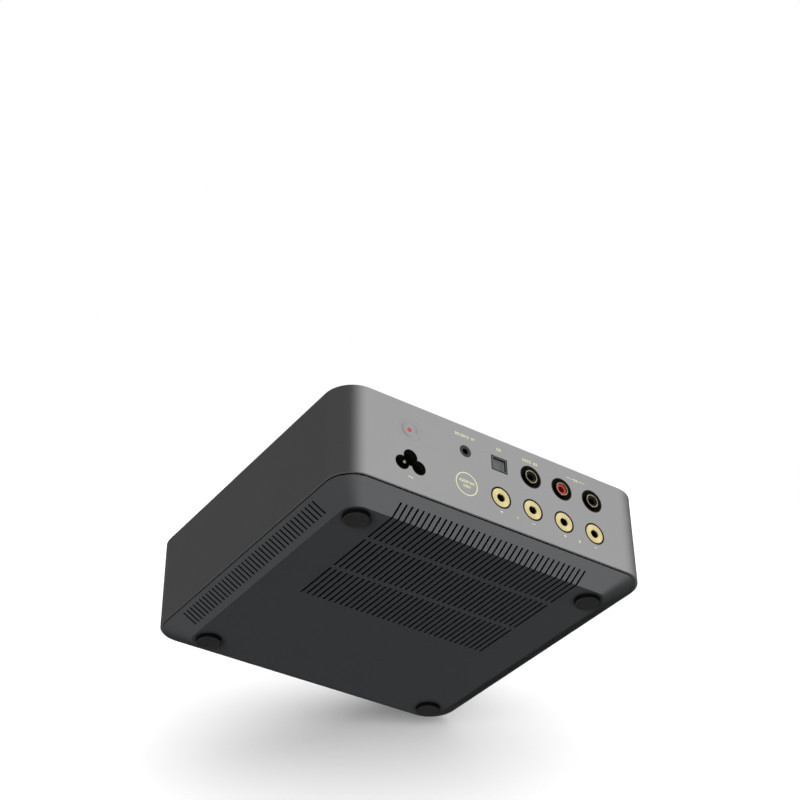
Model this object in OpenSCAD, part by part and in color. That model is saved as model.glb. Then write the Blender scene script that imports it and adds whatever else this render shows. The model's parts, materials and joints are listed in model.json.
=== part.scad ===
// Compact audio amplifier: one-piece housing, vented base tray and the parts inside
// Origin at the middle of the footprint, under the feet, +Z up, +Y towards the connectors

/* [Housing] */
// Width across the side faces
housing_w = 180; // [178:1:230]
// Depth from the front face to the rear face
housing_d = 180; // [178:1:230]
// Height from the lower edge to the top face
housing_h = 49.4; // [49:0.1:70]
// Plan radius of the upright corners
corner_r = 15; // [12:0.5:18]
// Thickness of the side, front and rear walls
wall_t = 3; // [2.8:0.1:3.4]
// Thickness of the top
top_t = 3; // [2.4:0.1:3.4]
// Chamfer along the top edge
top_chamfer = 0.2; // [0.2:0.1:1.5]
// Chamfer along the lower edge
low_chamfer = 0.3; // [0.2:0.1:1]
// Diameter of the screw posts in the corners
post_d = 7.6; // [6:0.1:8]

/* [Base tray] */
// Open seam between the housing's lower edge and the tray's rim
seam_gap = 0.2; // [0.2:0.1:1]
// How far the rim stands back from the housing's faces
rim_setback = 1.2; // [0.5:0.1:2]
// Height of the upright edge of the rim
rim_edge = 0.2; // [0.2:0.1:0.8]
// Height from the flat underside to the rim
rim_drop = 7.2; // [5:0.1:8]
// Plan width of the slope along the sides and the front
side_run = 12.4; // [9:0.1:13]
// Plan width of the slope along the rear
rear_run = 12.4; // [9:0.1:13]
// Plan radius of the flat underside's corners
underside_r = 8.7; // [6:0.1:12]
// Thickness of the tray
tray_t = 2; // [1.6:0.1:2.4]
// Height of the lip that stands inside the housing
lip_h = 3; // [2:0.5:5]
// Thickness of the lip
lip_t = 1.6; // [1.2:0.1:2]
// Clearance between the lip and the housing's walls
lip_gap = 0.3; // [0.1:0.05:0.5]

/* [Vents] */
// Width of a slot
slot_w = 1; // [0.6:0.05:1.4]
// Distance from one slot to the next
slot_pitch = 3.16; // [2.8:0.02:3.4]
// Slots in each row of the underside
slot_count = 35; // [21:2:35]
// Slots along each side
side_slot_count = 39; // [21:2:39]
// How far below the rim's edge the first row starts, in plan
slot_top_setback = 5.1; // [4.75:0.05:7]
// Length of the first row on the flat underside
slot_front_len = 20; // [10:0.5:24]
// Length of the second and third rows
slot_len = 26.6; // [15:0.2:28]
// Solid bar between two rows
slot_bar = 2.6; // [2:0.1:5]
// Plan length of a side slot
side_slot_len = 7.4; // [4:0.1:8]
// How far a side slot starts inside the rim's edge, in plan
side_slot_setback = 2; // [1.2:0.1:3]
// Offset of the side slots towards the rear
side_slot_shift = 0; // [-5:0.5:5]

/* [Feet] */
// Diameter of a foot
foot_d = 12.7; // [10:0.1:15]
// How far a foot stands out below the tray
foot_h = 2; // [1:0.1:5]
// Depth of the pocket that holds a foot
foot_pocket = 0.8; // [0.4:0.1:1.2]
// Clearance around a foot in its pocket
foot_gap = 0.1; // [0.05:0.05:0.3]
// Chamfer on a foot's lower edge
foot_chamfer = 0.5; // [0.2:0.1:1]
// Distance of a foot's centre from the side and end faces
foot_inset = 22.3; // [21:0.1:25]
// Clearance between the outermost socket and a screw post
post_clear = 0.8; // [0.5:0.1:2]
// Flat rim of the underside around a foot
foot_land = 1; // [0.5:0.5:3]

/* [Screws] */
// Shank diameter of a base screw
base_screw_d = 2.9; // [2.5:0.1:3.2]
// Head diameter of a base screw
base_head_d = 5.5; // [4.8:0.1:6]
// Head height of a base screw
base_head_h = 2; // [1.6:0.1:2.4]
// Length of a base screw below its head
base_screw_len = 14; // [10:0.5:20]
// Shank diameter of a board screw
screw_d = 2.4; // [2:0.1:2.6]
// Head diameter of a board screw
screw_head_d = 4.6; // [4:0.1:5]
// Head height of a board screw
screw_head_h = 1.6; // [1.2:0.1:1.8]
// Length of a board screw below its head
screw_len = 5.6; // [5:0.1:6]
// Diameter of the bosses that carry the boards
boss_d = 6; // [5:0.1:7]
// Clearance around a screw's shank
screw_gap = 0.05; // [0.03:0.01:0.2]

/* [Rear panel layout] */
// Depth of the input sockets, the jack and the button below the top face
top_row = 14.9; // [14.4:0.1:17]
// Distance from the input sockets down to the speaker sockets
row_pitch = 19; // [19:0.1:21]
// Sideways place of the first speaker socket and the optical port
first_x = 0.7; // [-4:0.1:4]
// Distance from one socket to the next
socket_pitch = 19; // [18.6:0.1:19.4]
// Distance from the first socket to the trigger jack
jack_offset = 20.1; // [17:0.1:20.4]
// Distance from the first socket to the button and the mains inlet
button_offset = 52; // [49:0.5:54]
// Clearance around a plastic piece in the rear wall
panel_gap = 0.1; // [0.05:0.01:0.2]

/* [Button] */
// Diameter of the cap
cap_d = 12.2; // [10:0.1:13]
// Clearance around the cap in the rear wall
cap_gap = 0.12; // [0.08:0.01:0.3]
// Travel of the button
button_travel = 0.6; // [0.3:0.1:0.8]
// Depth of the dish in the cap's face
dish_depth = 0.5; // [0.2:0.1:0.8]
// Flat rim around the dish
dish_rim = 0.7; // [0.4:0.1:1.5]
// Edge chamfer of the cap
cap_chamfer = 0.2; // [0.1:0.1:0.4]
// Width of the cap's flange behind the wall
flange_w = 1; // [0.6:0.1:1.4]
// Thickness of the cap's flange
flange_t = 1.2; // [0.8:0.1:1.4]
// Play between the flange and the wall at rest
stop_gap = 0.15; // [0.1:0.05:0.3]
// Diameter of the light guide in the middle of the cap
guide_d = 2; // [1.4:0.1:2.6]
// Depth of the button board's face below the rear face
button_board_depth = 10; // [9.8:0.1:11]
// Width of the button board
button_board_w = 27; // [26:0.5:28]
// Height of the button board
button_board_h = 17; // [15:0.5:17]
// Distance of a fixing boss from the button's middle
button_boss_offset = 10.6; // [10.4:0.1:11]
// Width and height of the switch body
switch_w = 6; // [5:0.1:6]
// Height of the switch body above its board
switch_h = 3.4; // [3:0.1:3.6]
// Distance of the switch below the button's middle
switch_drop = 4.4; // [4:0.1:4.6]
// Diameter of the switch plunger
plunger_d = 3.1; // [2:0.1:3.2]
// How far the plunger stands out of the switch
plunger_rise = 0.9; // [0.9:0.1:1.2]
// Height of the light-emitting diode
led_h = 1; // [0.6:0.1:1.2]

/* [Mains inlet] */
// Radius of each lobe of the opening
lobe_r = 3.65; // [3.4:0.05:3.8]
// Sideways distance of an outer lobe from the middle
lobe_spread = 4.6; // [4.4:0.05:4.8]
// Height of the middle lobe above the outer ones
lobe_rise = 4.7; // [4.4:0.05:5]
// Depth of the outer lobes below the speaker sockets
inlet_drop = 1.25; // [0:0.05:2]
// Wall of the inlet body around the lobes
inlet_wall = 2.4; // [2:0.1:2.6]
// Depth of the opening below the rear face
inlet_recess = 13; // [12:0.1:14]
// Length of the inlet body behind the rear wall
inlet_len = 14; // [13:0.1:15]
// Diameter of a contact pin
pin_d = 2.4; // [2:0.1:2.6]
// Length of a contact pin inside the opening
pin_len = 8.5; // [7:0.1:8.8]

/* [Trigger jack] */
// Diameter of the jack's face
jack_d = 6.5; // [6:0.1:7]
// Diameter of the jack's bore
jack_bore = 3.6; // [3.55:0.05:3.8]
// Depth of the jack's bore
jack_depth = 14; // [12:0.5:15]
// Width of the jack's body
jack_w = 8; // [7.4:0.1:8.4]
// Length of the jack's body behind the wall
jack_len = 13; // [12.5:0.1:15]

/* [Optical port] */
// Width of the port's frame
port_w = 9.3; // [9:0.1:10]
// Height of the port's frame
port_h = 8.2; // [8:0.1:9]
// Width of the frame's border
port_border = 0.9; // [0.7:0.1:1]
// Thickness of the frame's lip in front of the shutter
port_lip = 0.85; // [0.6:0.05:1.2]
// Depth of the port below the rear face
port_depth = 12; // [11.5:0.1:13]
// Wall of the receiver around the port
port_wall = 1.3; // [1:0.1:1.4]
// Wall of the frame above the shutter's hinge
port_skin = 0.35; // [0.3:0.05:0.4]
// Thickness of the shutter
shutter_t = 0.8; // [0.6:0.1:1]
// Diameter of the shutter's hinge barrel
barrel_d = 1.1; // [1.1:0.1:1.2]
// Diameter of the hinge pin
hinge_pin_d = 0.6; // [0.5:0.1:0.6]
// Clearance around the shutter
shutter_gap = 0.3; // [0.2:0.05:0.3]

/* [Input sockets] */
// Diameter of a socket's well in the rear face
phono_d = 12.4; // [12:0.1:13]
// Wall of the well
phono_wall = 0.5; // [0.4:0.1:0.8]
// Depth of the well
phono_well = 9; // [8.5:0.1:10]
// Outer diameter of the sleeve
sleeve_d = 8.3; // [8.2:0.05:8.4]
// Inner diameter of the sleeve
sleeve_bore = 5.9; // [5.6:0.1:6.2]
// How far the sleeve stands out of the rear face
sleeve_rise = 0.6; // [0.2:0.1:1]
// Diameter of the centre contact's hole
centre_d = 3.3; // [3.2:0.05:3.5]
// How far the insert lies below the sleeve's end
insert_drop = 0.5; // [0.3:0.1:1]
// Width of the socket's body behind the wall
phono_w = 13.6; // [13:0.1:14]
// Length of the socket's body behind the wall
phono_len = 12; // [11:0.1:12.5]
// Height from the socket's axis to the main board
phono_rise = 6.2; // [6.2:0.1:6.6]
// Diameter of the centre contact's stem
stem_d = 1.2; // [1:0.1:1.4]

/* [Speaker sockets] */
// Diameter of the insulating bush in the rear face
bush_d = 11.9; // [11.6:0.1:12.2]
// Diameter of the gold disc
disc_d = 10.5; // [10:0.1:10.8]
// Thickness of the gold disc
disc_t = 1.3; // [1:0.1:1.4]
// Thickness of the bush's floor under the disc
bush_floor = 0.6; // [0.4:0.1:0.7]
// Diameter of the socket's barrel
stem_barrel_d = 7.4; // [6.6:0.1:7.6]
// Wall of the bush around the barrel
bush_wall = 0.85; // [0.7:0.05:1]
// Length of the socket from its face to its rear end
speaker_len = 20; // [19.5:0.5:22]
// Diameter of the plug hole
plug_d = 4.1; // [4.05:0.05:4.2]
// Depth of the plug hole
plug_depth = 18; // [16:0.5:18.5]
// Thickness of the washer behind the wall
washer_t = 1.2; // [1:0.1:1.6]
// Diameter of the washer
washer_d = 13.4; // [12.8:0.1:14]
// Thickness of the nut
nut_t = 3; // [2.5:0.1:3.4]
// Width of the nut across its flats
nut_w = 11; // [10:0.1:11.4]
// Groove in the disc's face, width and depth
groove = 0.3; // [0.2:0.05:0.4]

/* [Circuit boards] */
// Thickness of the boards
board_t = 1.6; // [1.2:0.1:1.6]
// Clearance of the boards from the housing's walls
board_gap = 2; // [1.5:0.1:2.2]
// Clearance of a board around a screw post
post_gap = 0.6; // [0.4:0.1:1]
// Right edge of the power board and left edge of the main board meet here
board_split = 27.5; // [27:0.1:28]
// Half of the space between the two boards
split_gap = 2.5; // [2.2:0.1:2.7]
// Length of the main board
main_len = 143; // [140:1:146]
// Length of the power board
power_len = 148; // [146:1:152]

/* [Amplifier parts] */
// Width of the heat sink
sink_w = 50; // [44:1:54]
// Length of the heat sink
sink_len = 50; // [40:1:54]
// Thickness of the heat sink's base
sink_base = 4; // [3:0.2:5]
// Height of a fin
fin_h = 22; // [14:1:28]
// Thickness of a fin
fin_t = 1.5; // [1:0.1:2]
// Number of fins
fin_count = 11; // [7:1:12]
// Width of an amplifier chip
chip_w = 14; // [10:1:16]
// Thickness of a chip
chip_t = 1.6; // [1.2:0.1:2]
// Width of an output inductor
inductor_w = 12; // [10:0.5:14]
// Height of an output inductor
inductor_h = 10; // [8:0.5:14]
// Distance between output inductors
inductor_pitch = 16; // [15:0.5:16.5]
// Diameter of a supply capacitor
supply_cap_d = 16; // [12:0.5:16.5]
// Height of a supply capacitor
supply_cap_h = 25; // [16:1:35]
// Distance between supply capacitors
supply_cap_pitch = 18; // [17:0.5:18.5]
// Length of the wireless module
module_len = 26; // [20:1:27]
// Thickness of the wireless module
module_t = 2.6; // [2:0.1:4]

/* [Power supply parts] */
// Width of the transformer's core
core_w = 34; // [30:1:35]
// Height of the transformer's core
core_h = 28; // [24:1:31]
// Thickness of the transformer's core
core_t = 12; // [10:0.5:13]
// Width of an outer leg of the core
core_leg = 4; // [3.5:0.1:4.5]
// Width of the core's middle leg
core_mid = 9; // [8:0.1:10]
// Thickness of the winding around the middle leg
winding_t = 7.8; // [6:0.1:8]
// Clearance between the winding and the core
winding_gap = 0.2; // [0.1:0.05:0.4]
// Diameter of the bulk capacitor
bulk_cap_d = 22; // [18:0.5:22.5]
// Height of the bulk capacitor
bulk_cap_h = 31; // [20:1:31]
// Diameter of a filter capacitor
filter_cap_d = 10; // [8:0.5:10.5]
// Height of a filter capacitor
filter_cap_h = 18; // [12:1:30]
// Outer diameter of the choke's ring
choke_d = 17; // [14:0.5:17.5]
// Height of the choke's ring
choke_h = 9; // [6:0.5:14]
// Diameter of the fuse
fuse_d = 5.2; // [5:0.1:5.4]
// Length of the fuse
fuse_len = 20; // [18:0.5:20]

/* [Leads] */
// Diameter of a speaker lead
lead_d = 2.2; // [1.6:0.1:2.6]
// Diameter of a wire in the power cable
cable_d = 1.6; // [1.2:0.1:2]
// Diameter of the antenna lead
antenna_lead_d = 1.2; // [1:0.1:1.6]
// Thickness of the antenna
antenna_t = 0.3; // [0.2:0.1:0.6]

/* [Hidden] */
$fn = 64;

// Colours
grey_metal = "#7d7d7e";
dark_plastic = "#3a3c3e";
black_plastic = "#171716";
rubber = "#262524";
gold = "#d9c078";
brass = "#b89a4c";
steel = "#9a9da0";
tin = "#c4c6c8";
red_plastic = "#af1e1e";
board_green = "#2f5a3c";
copper = "#a5633a";
ferrite = "#2b2a2c";
clear_red = "#e04a4a";

// A small overshoot, so that cuts leave no skin
cut = 1;
// Thickness of the two thin slices that the tray's slopes run between
slice = 0.01;
// Sides of a circle in a blended form
blend_fn = 64;

// Heights
tray_z = foot_h;
floor_z = tray_z + tray_t;
rim_z = tray_z + rim_drop;
housing_z = rim_z + seam_gap;
top_z = housing_z + housing_h;
ceiling_z = top_z - top_t;
high_z = top_z - top_row;
low_z = high_z - row_pitch;
inlet_z = low_z - inlet_drop;
main_z = high_z + phono_rise;
main_top = main_z + board_t;
power_top = inlet_z - lobe_r - inlet_wall;
power_z = power_top - board_t;

// Plan places
rear_y = housing_d / 2;
inner_x = housing_w / 2 - wall_t;
inner_y = rear_y - wall_t;
rim_x = housing_w / 2 - rim_setback;
rim_y = rear_y - rim_setback;
button_x = first_x + button_offset;
jack_x = first_x + jack_offset;
socket_xs = [for (i = [0:3]) first_x - i * socket_pitch];
input_xs = [for (i = [1:3]) socket_xs[i]];
foot_x = max(housing_w / 2 - foot_inset, phono_w / 2 - socket_xs[3] + post_d / 2 + post_clear);
foot_y = rear_y - foot_inset;
underside_x = max(rim_x - side_run, foot_x + foot_d / 2 + foot_land);
underside_rear = rim_y - rear_run;
foot_places = [for (y = [foot_y, -foot_y], x = [foot_x, -foot_x]) [x, y]];

// Slope of the tray: level thickness of its wall at the sides and at the rear
side_skin = tray_t * sqrt(side_run ^ 2 + rim_drop ^ 2) / rim_drop;
rear_skin = tray_t * sqrt(rear_run ^ 2 + rim_drop ^ 2) / rim_drop;

// Board fixings
main_left = -(inner_x - board_gap);
main_right = board_split - split_gap;
main_front = inner_y - board_gap - main_len;
power_left = board_split + split_gap;
power_right = inner_x - board_gap;
power_front = inner_y - board_gap - power_len;
fixing_inset = 5;
main_fixings = [[main_left + fixing_inset, rear_y - 38], [main_left + fixing_inset, rear_y - 128],
    [main_right - fixing_inset, rear_y - 30], [main_right - fixing_inset, main_front + fixing_inset],
    [-34, main_front + fixing_inset]];
power_fixing_x = underside_x - 4;
power_fixings = [[power_fixing_x, rear_y - 46], [power_fixing_x, 2 * post_d - foot_y],
    [power_left + fixing_inset, power_front + fixing_inset], [power_left + fixing_inset, rear_y - 98],
    [foot_x - post_d, foot_y - post_d]];
button_fixings = [for (s = [-1, 1]) button_x + s * button_boss_offset];
boss_bore_depth = 5;
screw_bore = screw_d + 2 * screw_gap;
board_hole = screw_d + 0.6;

// Main board layout
sink_x = -23;
sink_y = rear_y - 58;
chip_z = main_z - chip_t;
sink_fixings = [for (s = [-1, 1]) [sink_x + s * (sink_w / 2 - 5), sink_y]];
chip_ys = [sink_y - sink_len / 4, sink_y + sink_len / 4];
inductor_xs = [for (i = [0:3]) -40 + i * inductor_pitch];
inductor_y = rear_y - 100;
film_cap_y = rear_y - 120;
film_cap = [13, 7, 11];
supply_cap_x = main_left + fixing_inset + 14;
supply_cap_ys = [for (i = [0:3]) rear_y - 92 + i * supply_cap_pitch];
module_w = 18;
module_place = [-62, rear_y - 112];
signal_chip_places = [[-18, rear_y - 140], [5, rear_y - 140]];
signal_chip_w = 11;
signal_chip_t = 1.2;

// Power board layout
core_place = [56, rear_y - 88];
bulk_cap_place = [58, rear_y - 58];
filter_cap_xs = [for (i = [-1:1]) core_place[0] + i * 12.5];
filter_cap_y = rear_y - 117;
choke_place = [46, rear_y - 36];
choke_base_t = 1.5;
fuse_place = [35.5, rear_y - 19];
fuse_lift = 5;
clip_t = 3;
clip_w = 6;
rectifier_place = [36, rear_y - 56];
rectifier = [4, 15, 11];
x_cap = [8, 15, 15];
x_cap_place = [power_right - 3 - x_cap[0] / 2, foot_y - post_d / 2 - 1 - x_cap[1] / 2];

// Cables
header = [5, 12, 7];
power_header_x = 35;
main_header_x = main_right - 7;
header_y = rear_y - 120;
cable_wires = 4;
wire_pitch = 2.6;
cable_bend_z = (power_top + main_z) / 2;
lead_drop = 3;
antenna_place = [-30, -foot_y];
antenna_size = [56, 10];
button_wires = 5;
button_wire_d = 0.9;
button_wire_pitch = 1.1;

// Jack, port and socket details
port_x = first_x;
opening_w = port_w - 2 * port_border;
opening_h = port_h - 2 * port_border;
port_roof_z = high_z + port_h / 2 - port_skin;
port_floor_z = high_z - opening_h / 2 - shutter_gap;
port_half_w = opening_w / 2 + shutter_gap;
hinge_z = port_roof_z - shutter_gap - barrel_d / 2;
hinge_y = rear_y - port_lip - shutter_gap - barrel_d / 2;
sleeve_foot = 2;
sleeve_foot_d = sleeve_d - 0.5;
sleeve_round = 0.3;
insert_floor = 1.5;
fit = 0.03;

// Rounded rectangle about the middle
module rounded_rect(w, d, r) {
    square([w - 2 * r, d], center = true);
    square([w, d - 2 * r], center = true);
    for (x = [-1, 1], y = [-1, 1])
        translate([x * (w / 2 - r), y * (d / 2 - r)]) circle(r);
}

// Box between two corners
module block(x, y, z) {
    translate([x[0], y[0], z[0]]) cube([x[1] - x[0], y[1] - y[0], z[1] - z[0]]);
}

// Box that stands on a level, about a place
module standing(place, size, z) {
    translate([place[0] - size[0] / 2, place[1] - size[1] / 2, z]) cube(size);
}

// Puts a piece below the rear face, with its axis pointing out of the panel
module at_rear(x, z, depth) {
    translate([x, rear_y - depth, z]) rotate([-90, 0, 0]) children();
}

// Slab with rounded corners and chamfered lower and upper edges
module chamfered_slab(w, d, h, r, low, high) {
    x = w / 2 - r;
    y = d / 2 - r;
    module edge_profile(reach)
        polygon([[0, 0], [reach - low, 0], [reach, low],
            [reach, h - high], [reach - high, h], [0, h]]);
    module both_ways(reach) {
        edge_profile(reach);
        mirror([1, 0]) edge_profile(reach);
    }
    rotate([90, 0, 90]) linear_extrude(2 * x, center = true) both_ways(d / 2);
    rotate([90, 0, 0]) linear_extrude(2 * y, center = true) both_ways(w / 2);
    for (i = [-1, 1], j = [-1, 1])
        translate([i * x, j * y, 0]) rotate_extrude() edge_profile(r);
}

// Round bar along a list of points, with ball joints
module bar(points, d) {
    for (i = [0:len(points) - 2]) {
        step = points[i + 1] - points[i];
        translate(points[i])
            rotate([0, acos(step[2] / norm(step)), atan2(step[1], step[0])])
                cylinder(d = d, h = norm(step));
    }
    for (i = [1:1:len(points) - 2]) translate(points[i]) sphere(d = d);
}

// Cloverleaf outline of the mains inlet
module cloverleaf(r) {
    for (s = [-1, 1]) translate([s * lobe_spread, 0]) circle(r);
    translate([0, -lobe_rise]) circle(r);
    translate([0, -lobe_rise * 0.4]) circle(r * 0.62);
}

// Housing: one shell of top, sides, front and rear panel
module housing() color(grey_metal) difference() {
    union() {
        difference() {
            translate([0, 0, housing_z])
                chamfered_slab(housing_w, housing_d, housing_h, corner_r, low_chamfer, top_chamfer);
            translate([0, 0, housing_z - cut]) linear_extrude(ceiling_z - housing_z + cut)
                rounded_rect(2 * inner_x, 2 * inner_y, corner_r - wall_t);
        }
        for (p = foot_places)
            translate([p[0], p[1], housing_z]) cylinder(d = post_d, h = ceiling_z - housing_z + cut);
        for (p = main_fixings)
            translate([p[0], p[1], main_top]) cylinder(d = boss_d, h = ceiling_z - main_top + cut);
        for (x = button_fixings)
            at_rear(x, high_z, button_board_depth)
                cylinder(d = boss_d - 1, h = button_board_depth - wall_t + cut);
    }
    for (p = foot_places)
        translate([p[0], p[1], housing_z - cut])
            cylinder(d = base_screw_d + 2 * screw_gap, h = base_screw_len + cut);
    for (p = main_fixings)
        translate([p[0], p[1], main_top - cut]) cylinder(d = screw_bore, h = boss_bore_depth + cut);
    for (x = button_fixings)
        at_rear(x, high_z, button_board_depth + cut) cylinder(d = screw_bore, h = boss_bore_depth + cut);
    panel_cuts();
}

// Openings in the rear panel
module panel_cuts() {
    through = wall_t + 2 * cut;
    at_rear(button_x, high_z, wall_t + cut) cylinder(d = cap_d + 2 * cap_gap, h = through);
    at_rear(button_x, inlet_z, wall_t + cut) linear_extrude(through) cloverleaf(lobe_r);
    at_rear(jack_x, high_z, wall_t + cut) cylinder(d = jack_d + 2 * panel_gap, h = through);
    at_rear(port_x, high_z, wall_t + cut) linear_extrude(through)
        square([port_w + 2 * panel_gap, port_h + 2 * panel_gap], center = true);
    for (x = input_xs)
        at_rear(x, high_z, wall_t + cut) cylinder(d = phono_d + 2 * panel_gap, h = through);
    for (x = socket_xs) {
        at_rear(x, low_z, disc_t + bush_floor) cylinder(d = bush_d + 2 * fit, h = through);
        at_rear(x, low_z, wall_t + cut)
            cylinder(d = stem_barrel_d + 2 * bush_wall + 2 * panel_gap, h = through);
    }
}

// Slopes of the tray, from the rim down to the underside, drawn in by a level thickness
module tray_form(inset_side, inset_rear, low, high) {
    rise = (rim_z - low) / rim_drop;
    module level(side, rear, r, z, t) {
        translate([0, (rear - side[1]) / 2, z]) linear_extrude(t)
            rounded_rect(2 * side[0], rear + side[1], r);
    }
    hull() {
        level([rim_x - inset_side, rim_y - inset_side], rim_y - inset_rear,
            corner_r - rim_setback - inset_side / 2, rim_z - rim_edge, high - rim_z + rim_edge,
            $fn = blend_fn);
        level([rim_x - inset_side - (rim_x - underside_x) * rise, rim_y - inset_side - side_run * rise],
            rim_y - inset_rear - rear_run * rise, underside_r, low, slice, $fn = blend_fn);
    }
}

// One row of slots across the underside
module slot_row(rear, front, low, high) {
    for (i = [0:slot_count - 1]) {
        x = (i - (slot_count - 1) / 2) * slot_pitch;
        block([x - slot_w / 2, x + slot_w / 2], [front, rear], [low, high]);
    }
}

// Vents of the underside: one row over the rear bend and two on the flat
module underside_slots() {
    first_front = underside_rear - slot_front_len;
    slot_row(rim_y - slot_top_setback, first_front, tray_z - cut, rim_z + cut);
    for (i = [0, 1]) {
        rear = first_front - slot_bar - i * (slot_len + slot_bar);
        slot_row(rear, rear - slot_len, tray_z - cut, floor_z + cut);
    }
}

// Vents along one side slope
module side_slots() {
    outer = rim_x - side_slot_setback;
    for (i = [0:side_slot_count - 1]) {
        y = side_slot_shift + (i - (side_slot_count - 1) / 2) * slot_pitch;
        block([outer - side_slot_len, outer], [y - slot_w / 2, y + slot_w / 2],
            [tray_z - cut, rim_z - rim_edge]);
    }
}

// Base tray: vented floor, sloped rim, lip and the bosses for screws and board
module base_tray() color(dark_plastic) difference() {
    union() {
        difference() {
            tray_form(0, 0, tray_z, rim_z);
            tray_form(side_skin, rear_skin, floor_z, rim_z + cut);
        }
        translate([0, 0, rim_z - rim_edge]) linear_extrude(housing_z + lip_h - rim_z + rim_edge)
            difference() {
                rounded_rect(2 * (inner_x - lip_gap), 2 * (inner_y - lip_gap),
                    corner_r - wall_t - lip_gap);
                rounded_rect(2 * (inner_x - lip_gap - lip_t), 2 * (inner_y - lip_gap - lip_t),
                    corner_r - wall_t - lip_gap - lip_t);
            }
        for (p = foot_places)
            translate([p[0], p[1], tray_z]) cylinder(d = foot_d + 2, h = housing_z - tray_z);
        for (p = power_fixings)
            translate([p[0], p[1], tray_z]) cylinder(d = boss_d, h = power_z - tray_z);
    }
    for (p = foot_places) translate([p[0], p[1], tray_z]) {
        translate([0, 0, -cut]) cylinder(d = foot_d + 2 * foot_gap, h = foot_pocket + cut);
        cylinder(d = base_head_d + 0.6, h = foot_pocket + base_head_h + 0.4);
        cylinder(d = base_screw_d + 0.4, h = housing_z - tray_z + cut);
    }
    for (p = power_fixings)
        translate([p[0], p[1], power_z - boss_bore_depth]) cylinder(d = screw_bore, h = boss_bore_depth + cut);
    underside_slots();
    side_slots();
    mirror([1, 0, 0]) side_slots();
}

// Rubber foot, pressed into its pocket
module foot(place) color(rubber)
    translate([place[0], place[1], 0]) rotate_extrude()
        polygon([[0, 0], [foot_d / 2 - foot_chamfer, 0], [foot_d / 2, foot_chamfer],
            [foot_d / 2, foot_h + foot_pocket], [0, foot_h + foot_pocket]]);

// Screws that hold the tray to the housing's posts, hidden by the feet
module base_screws() color(steel)
    for (p = foot_places)
        translate([p[0], p[1], tray_z + foot_pocket + 0.4]) {
            cylinder(d = base_head_d, h = base_head_h);
            cylinder(d = base_screw_d, h = base_head_h + base_screw_len - 2);
        }

// Button cap with its dished face, flange and press rib
cap_len = wall_t + stop_gap + flange_t;
cap_r = cap_d / 2;
dish_r = cap_r - dish_rim;
dish_ball_r = (dish_r ^ 2 + dish_depth ^ 2) / (2 * dish_depth);
plunger_depth = button_board_depth - switch_h - plunger_rise;
module button_cap() color(grey_metal) at_rear(button_x, high_z, cap_len) difference() {
    union() {
        rotate_extrude() polygon([[0, 0], [cap_r + flange_w, 0], [cap_r + flange_w, flange_t],
            [cap_r, flange_t], [cap_r, cap_len - cap_chamfer], [cap_r - cap_chamfer, cap_len], [0, cap_len]]);
        translate([0, switch_drop, cap_len - plunger_depth])
            cylinder(d = plunger_d - 0.4, h = plunger_depth - cap_len + cut);
    }
    translate([0, 0, cap_len + dish_ball_r - dish_depth]) sphere(dish_ball_r, $fn = 96);
    translate([0, 0, -cut]) cylinder(d = guide_d + 2 * fit, h = cap_len + 2 * cut);
}

// Clear light guide through the cap
module button_light_guide() color(clear_red) {
    guide_depth = button_board_depth - led_h - button_travel - 0.3;
    at_rear(button_x, high_z, guide_depth) cylinder(d = guide_d, h = guide_depth - dish_depth);
    at_rear(button_x, high_z, cap_len + 0.8) cylinder(d = guide_d + 1.2, h = 0.8);
}

// Switch body on the button board
module button_switch() color(black_plastic)
    at_rear(button_x, high_z - switch_drop, button_board_depth) difference() {
        linear_extrude(switch_h) square(switch_w, center = true);
        translate([0, 0, 0.8]) cylinder(d = plunger_d + 0.16, h = switch_h);
    }

// Plunger of the switch, pressed by the cap's rib
module switch_plunger() color("#d8d4c8")
    at_rear(button_x, high_z - switch_drop, button_board_depth - 0.8 - button_travel - 0.2)
        cylinder(d = plunger_d, h = button_board_depth - 1 - button_travel - plunger_depth);

// Light-emitting diode behind the light guide
module status_led() color(clear_red)
    at_rear(button_x, high_z, button_board_depth) linear_extrude(led_h) square([2, 1.3], center = true);

// Small upright board that carries the switch and the diode
module button_board() color(board_green)
    at_rear(button_x, high_z, button_board_depth + board_t) difference() {
        linear_extrude(board_t) square([button_board_w, button_board_h], center = true);
        for (s = [-1, 1]) translate([s * button_boss_offset, 0, -cut])
            cylinder(d = board_hole, h = board_t + 2 * cut);
    }

// Flat cable from the button board round to the main board, with its two headers
module button_cable() color("#c9c9c4") {
    back = rear_y - button_board_depth - board_t;
    run = button_wires * button_wire_pitch;
    start_x = button_x - run / 2;
    end_x = main_right - 4;
    turn_y = inner_y - jack_len - 2 - run;
    z = main_z - button_wire_d - 0.8;
    block([start_x - button_wire_pitch, start_x + run], [back - 2, back], [z - 1.2, z + 1.2]);
    block([end_x - 1.2, end_x + 1.2], [turn_y - button_wire_pitch, turn_y + run], [z - 0.8, main_z]);
    for (i = [0:button_wires - 1]) {
        x = start_x + i * button_wire_pitch;
        y = turn_y + run - i * button_wire_pitch;
        bar([[x, back - 1.5, z], [x, y, z], [end_x, y, z]], button_wire_d);
    }
}

// Mains inlet body with its cloverleaf recess
module inlet_body() color(black_plastic) difference() {
    half = lobe_spread + lobe_r + inlet_wall;
    block([button_x - half, button_x + half], [inner_y - inlet_len, inner_y],
        [power_top, inlet_z + lobe_rise + lobe_r + inlet_wall]);
    at_rear(button_x, inlet_z, inlet_recess) linear_extrude(inlet_recess) cloverleaf(lobe_r);
    for (p = pin_places)
        at_rear(p[0], p[1], inner_y + inlet_len + cut) cylinder(d = pin_d + 2 * fit, h = inner_y + inlet_len);
}

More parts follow.
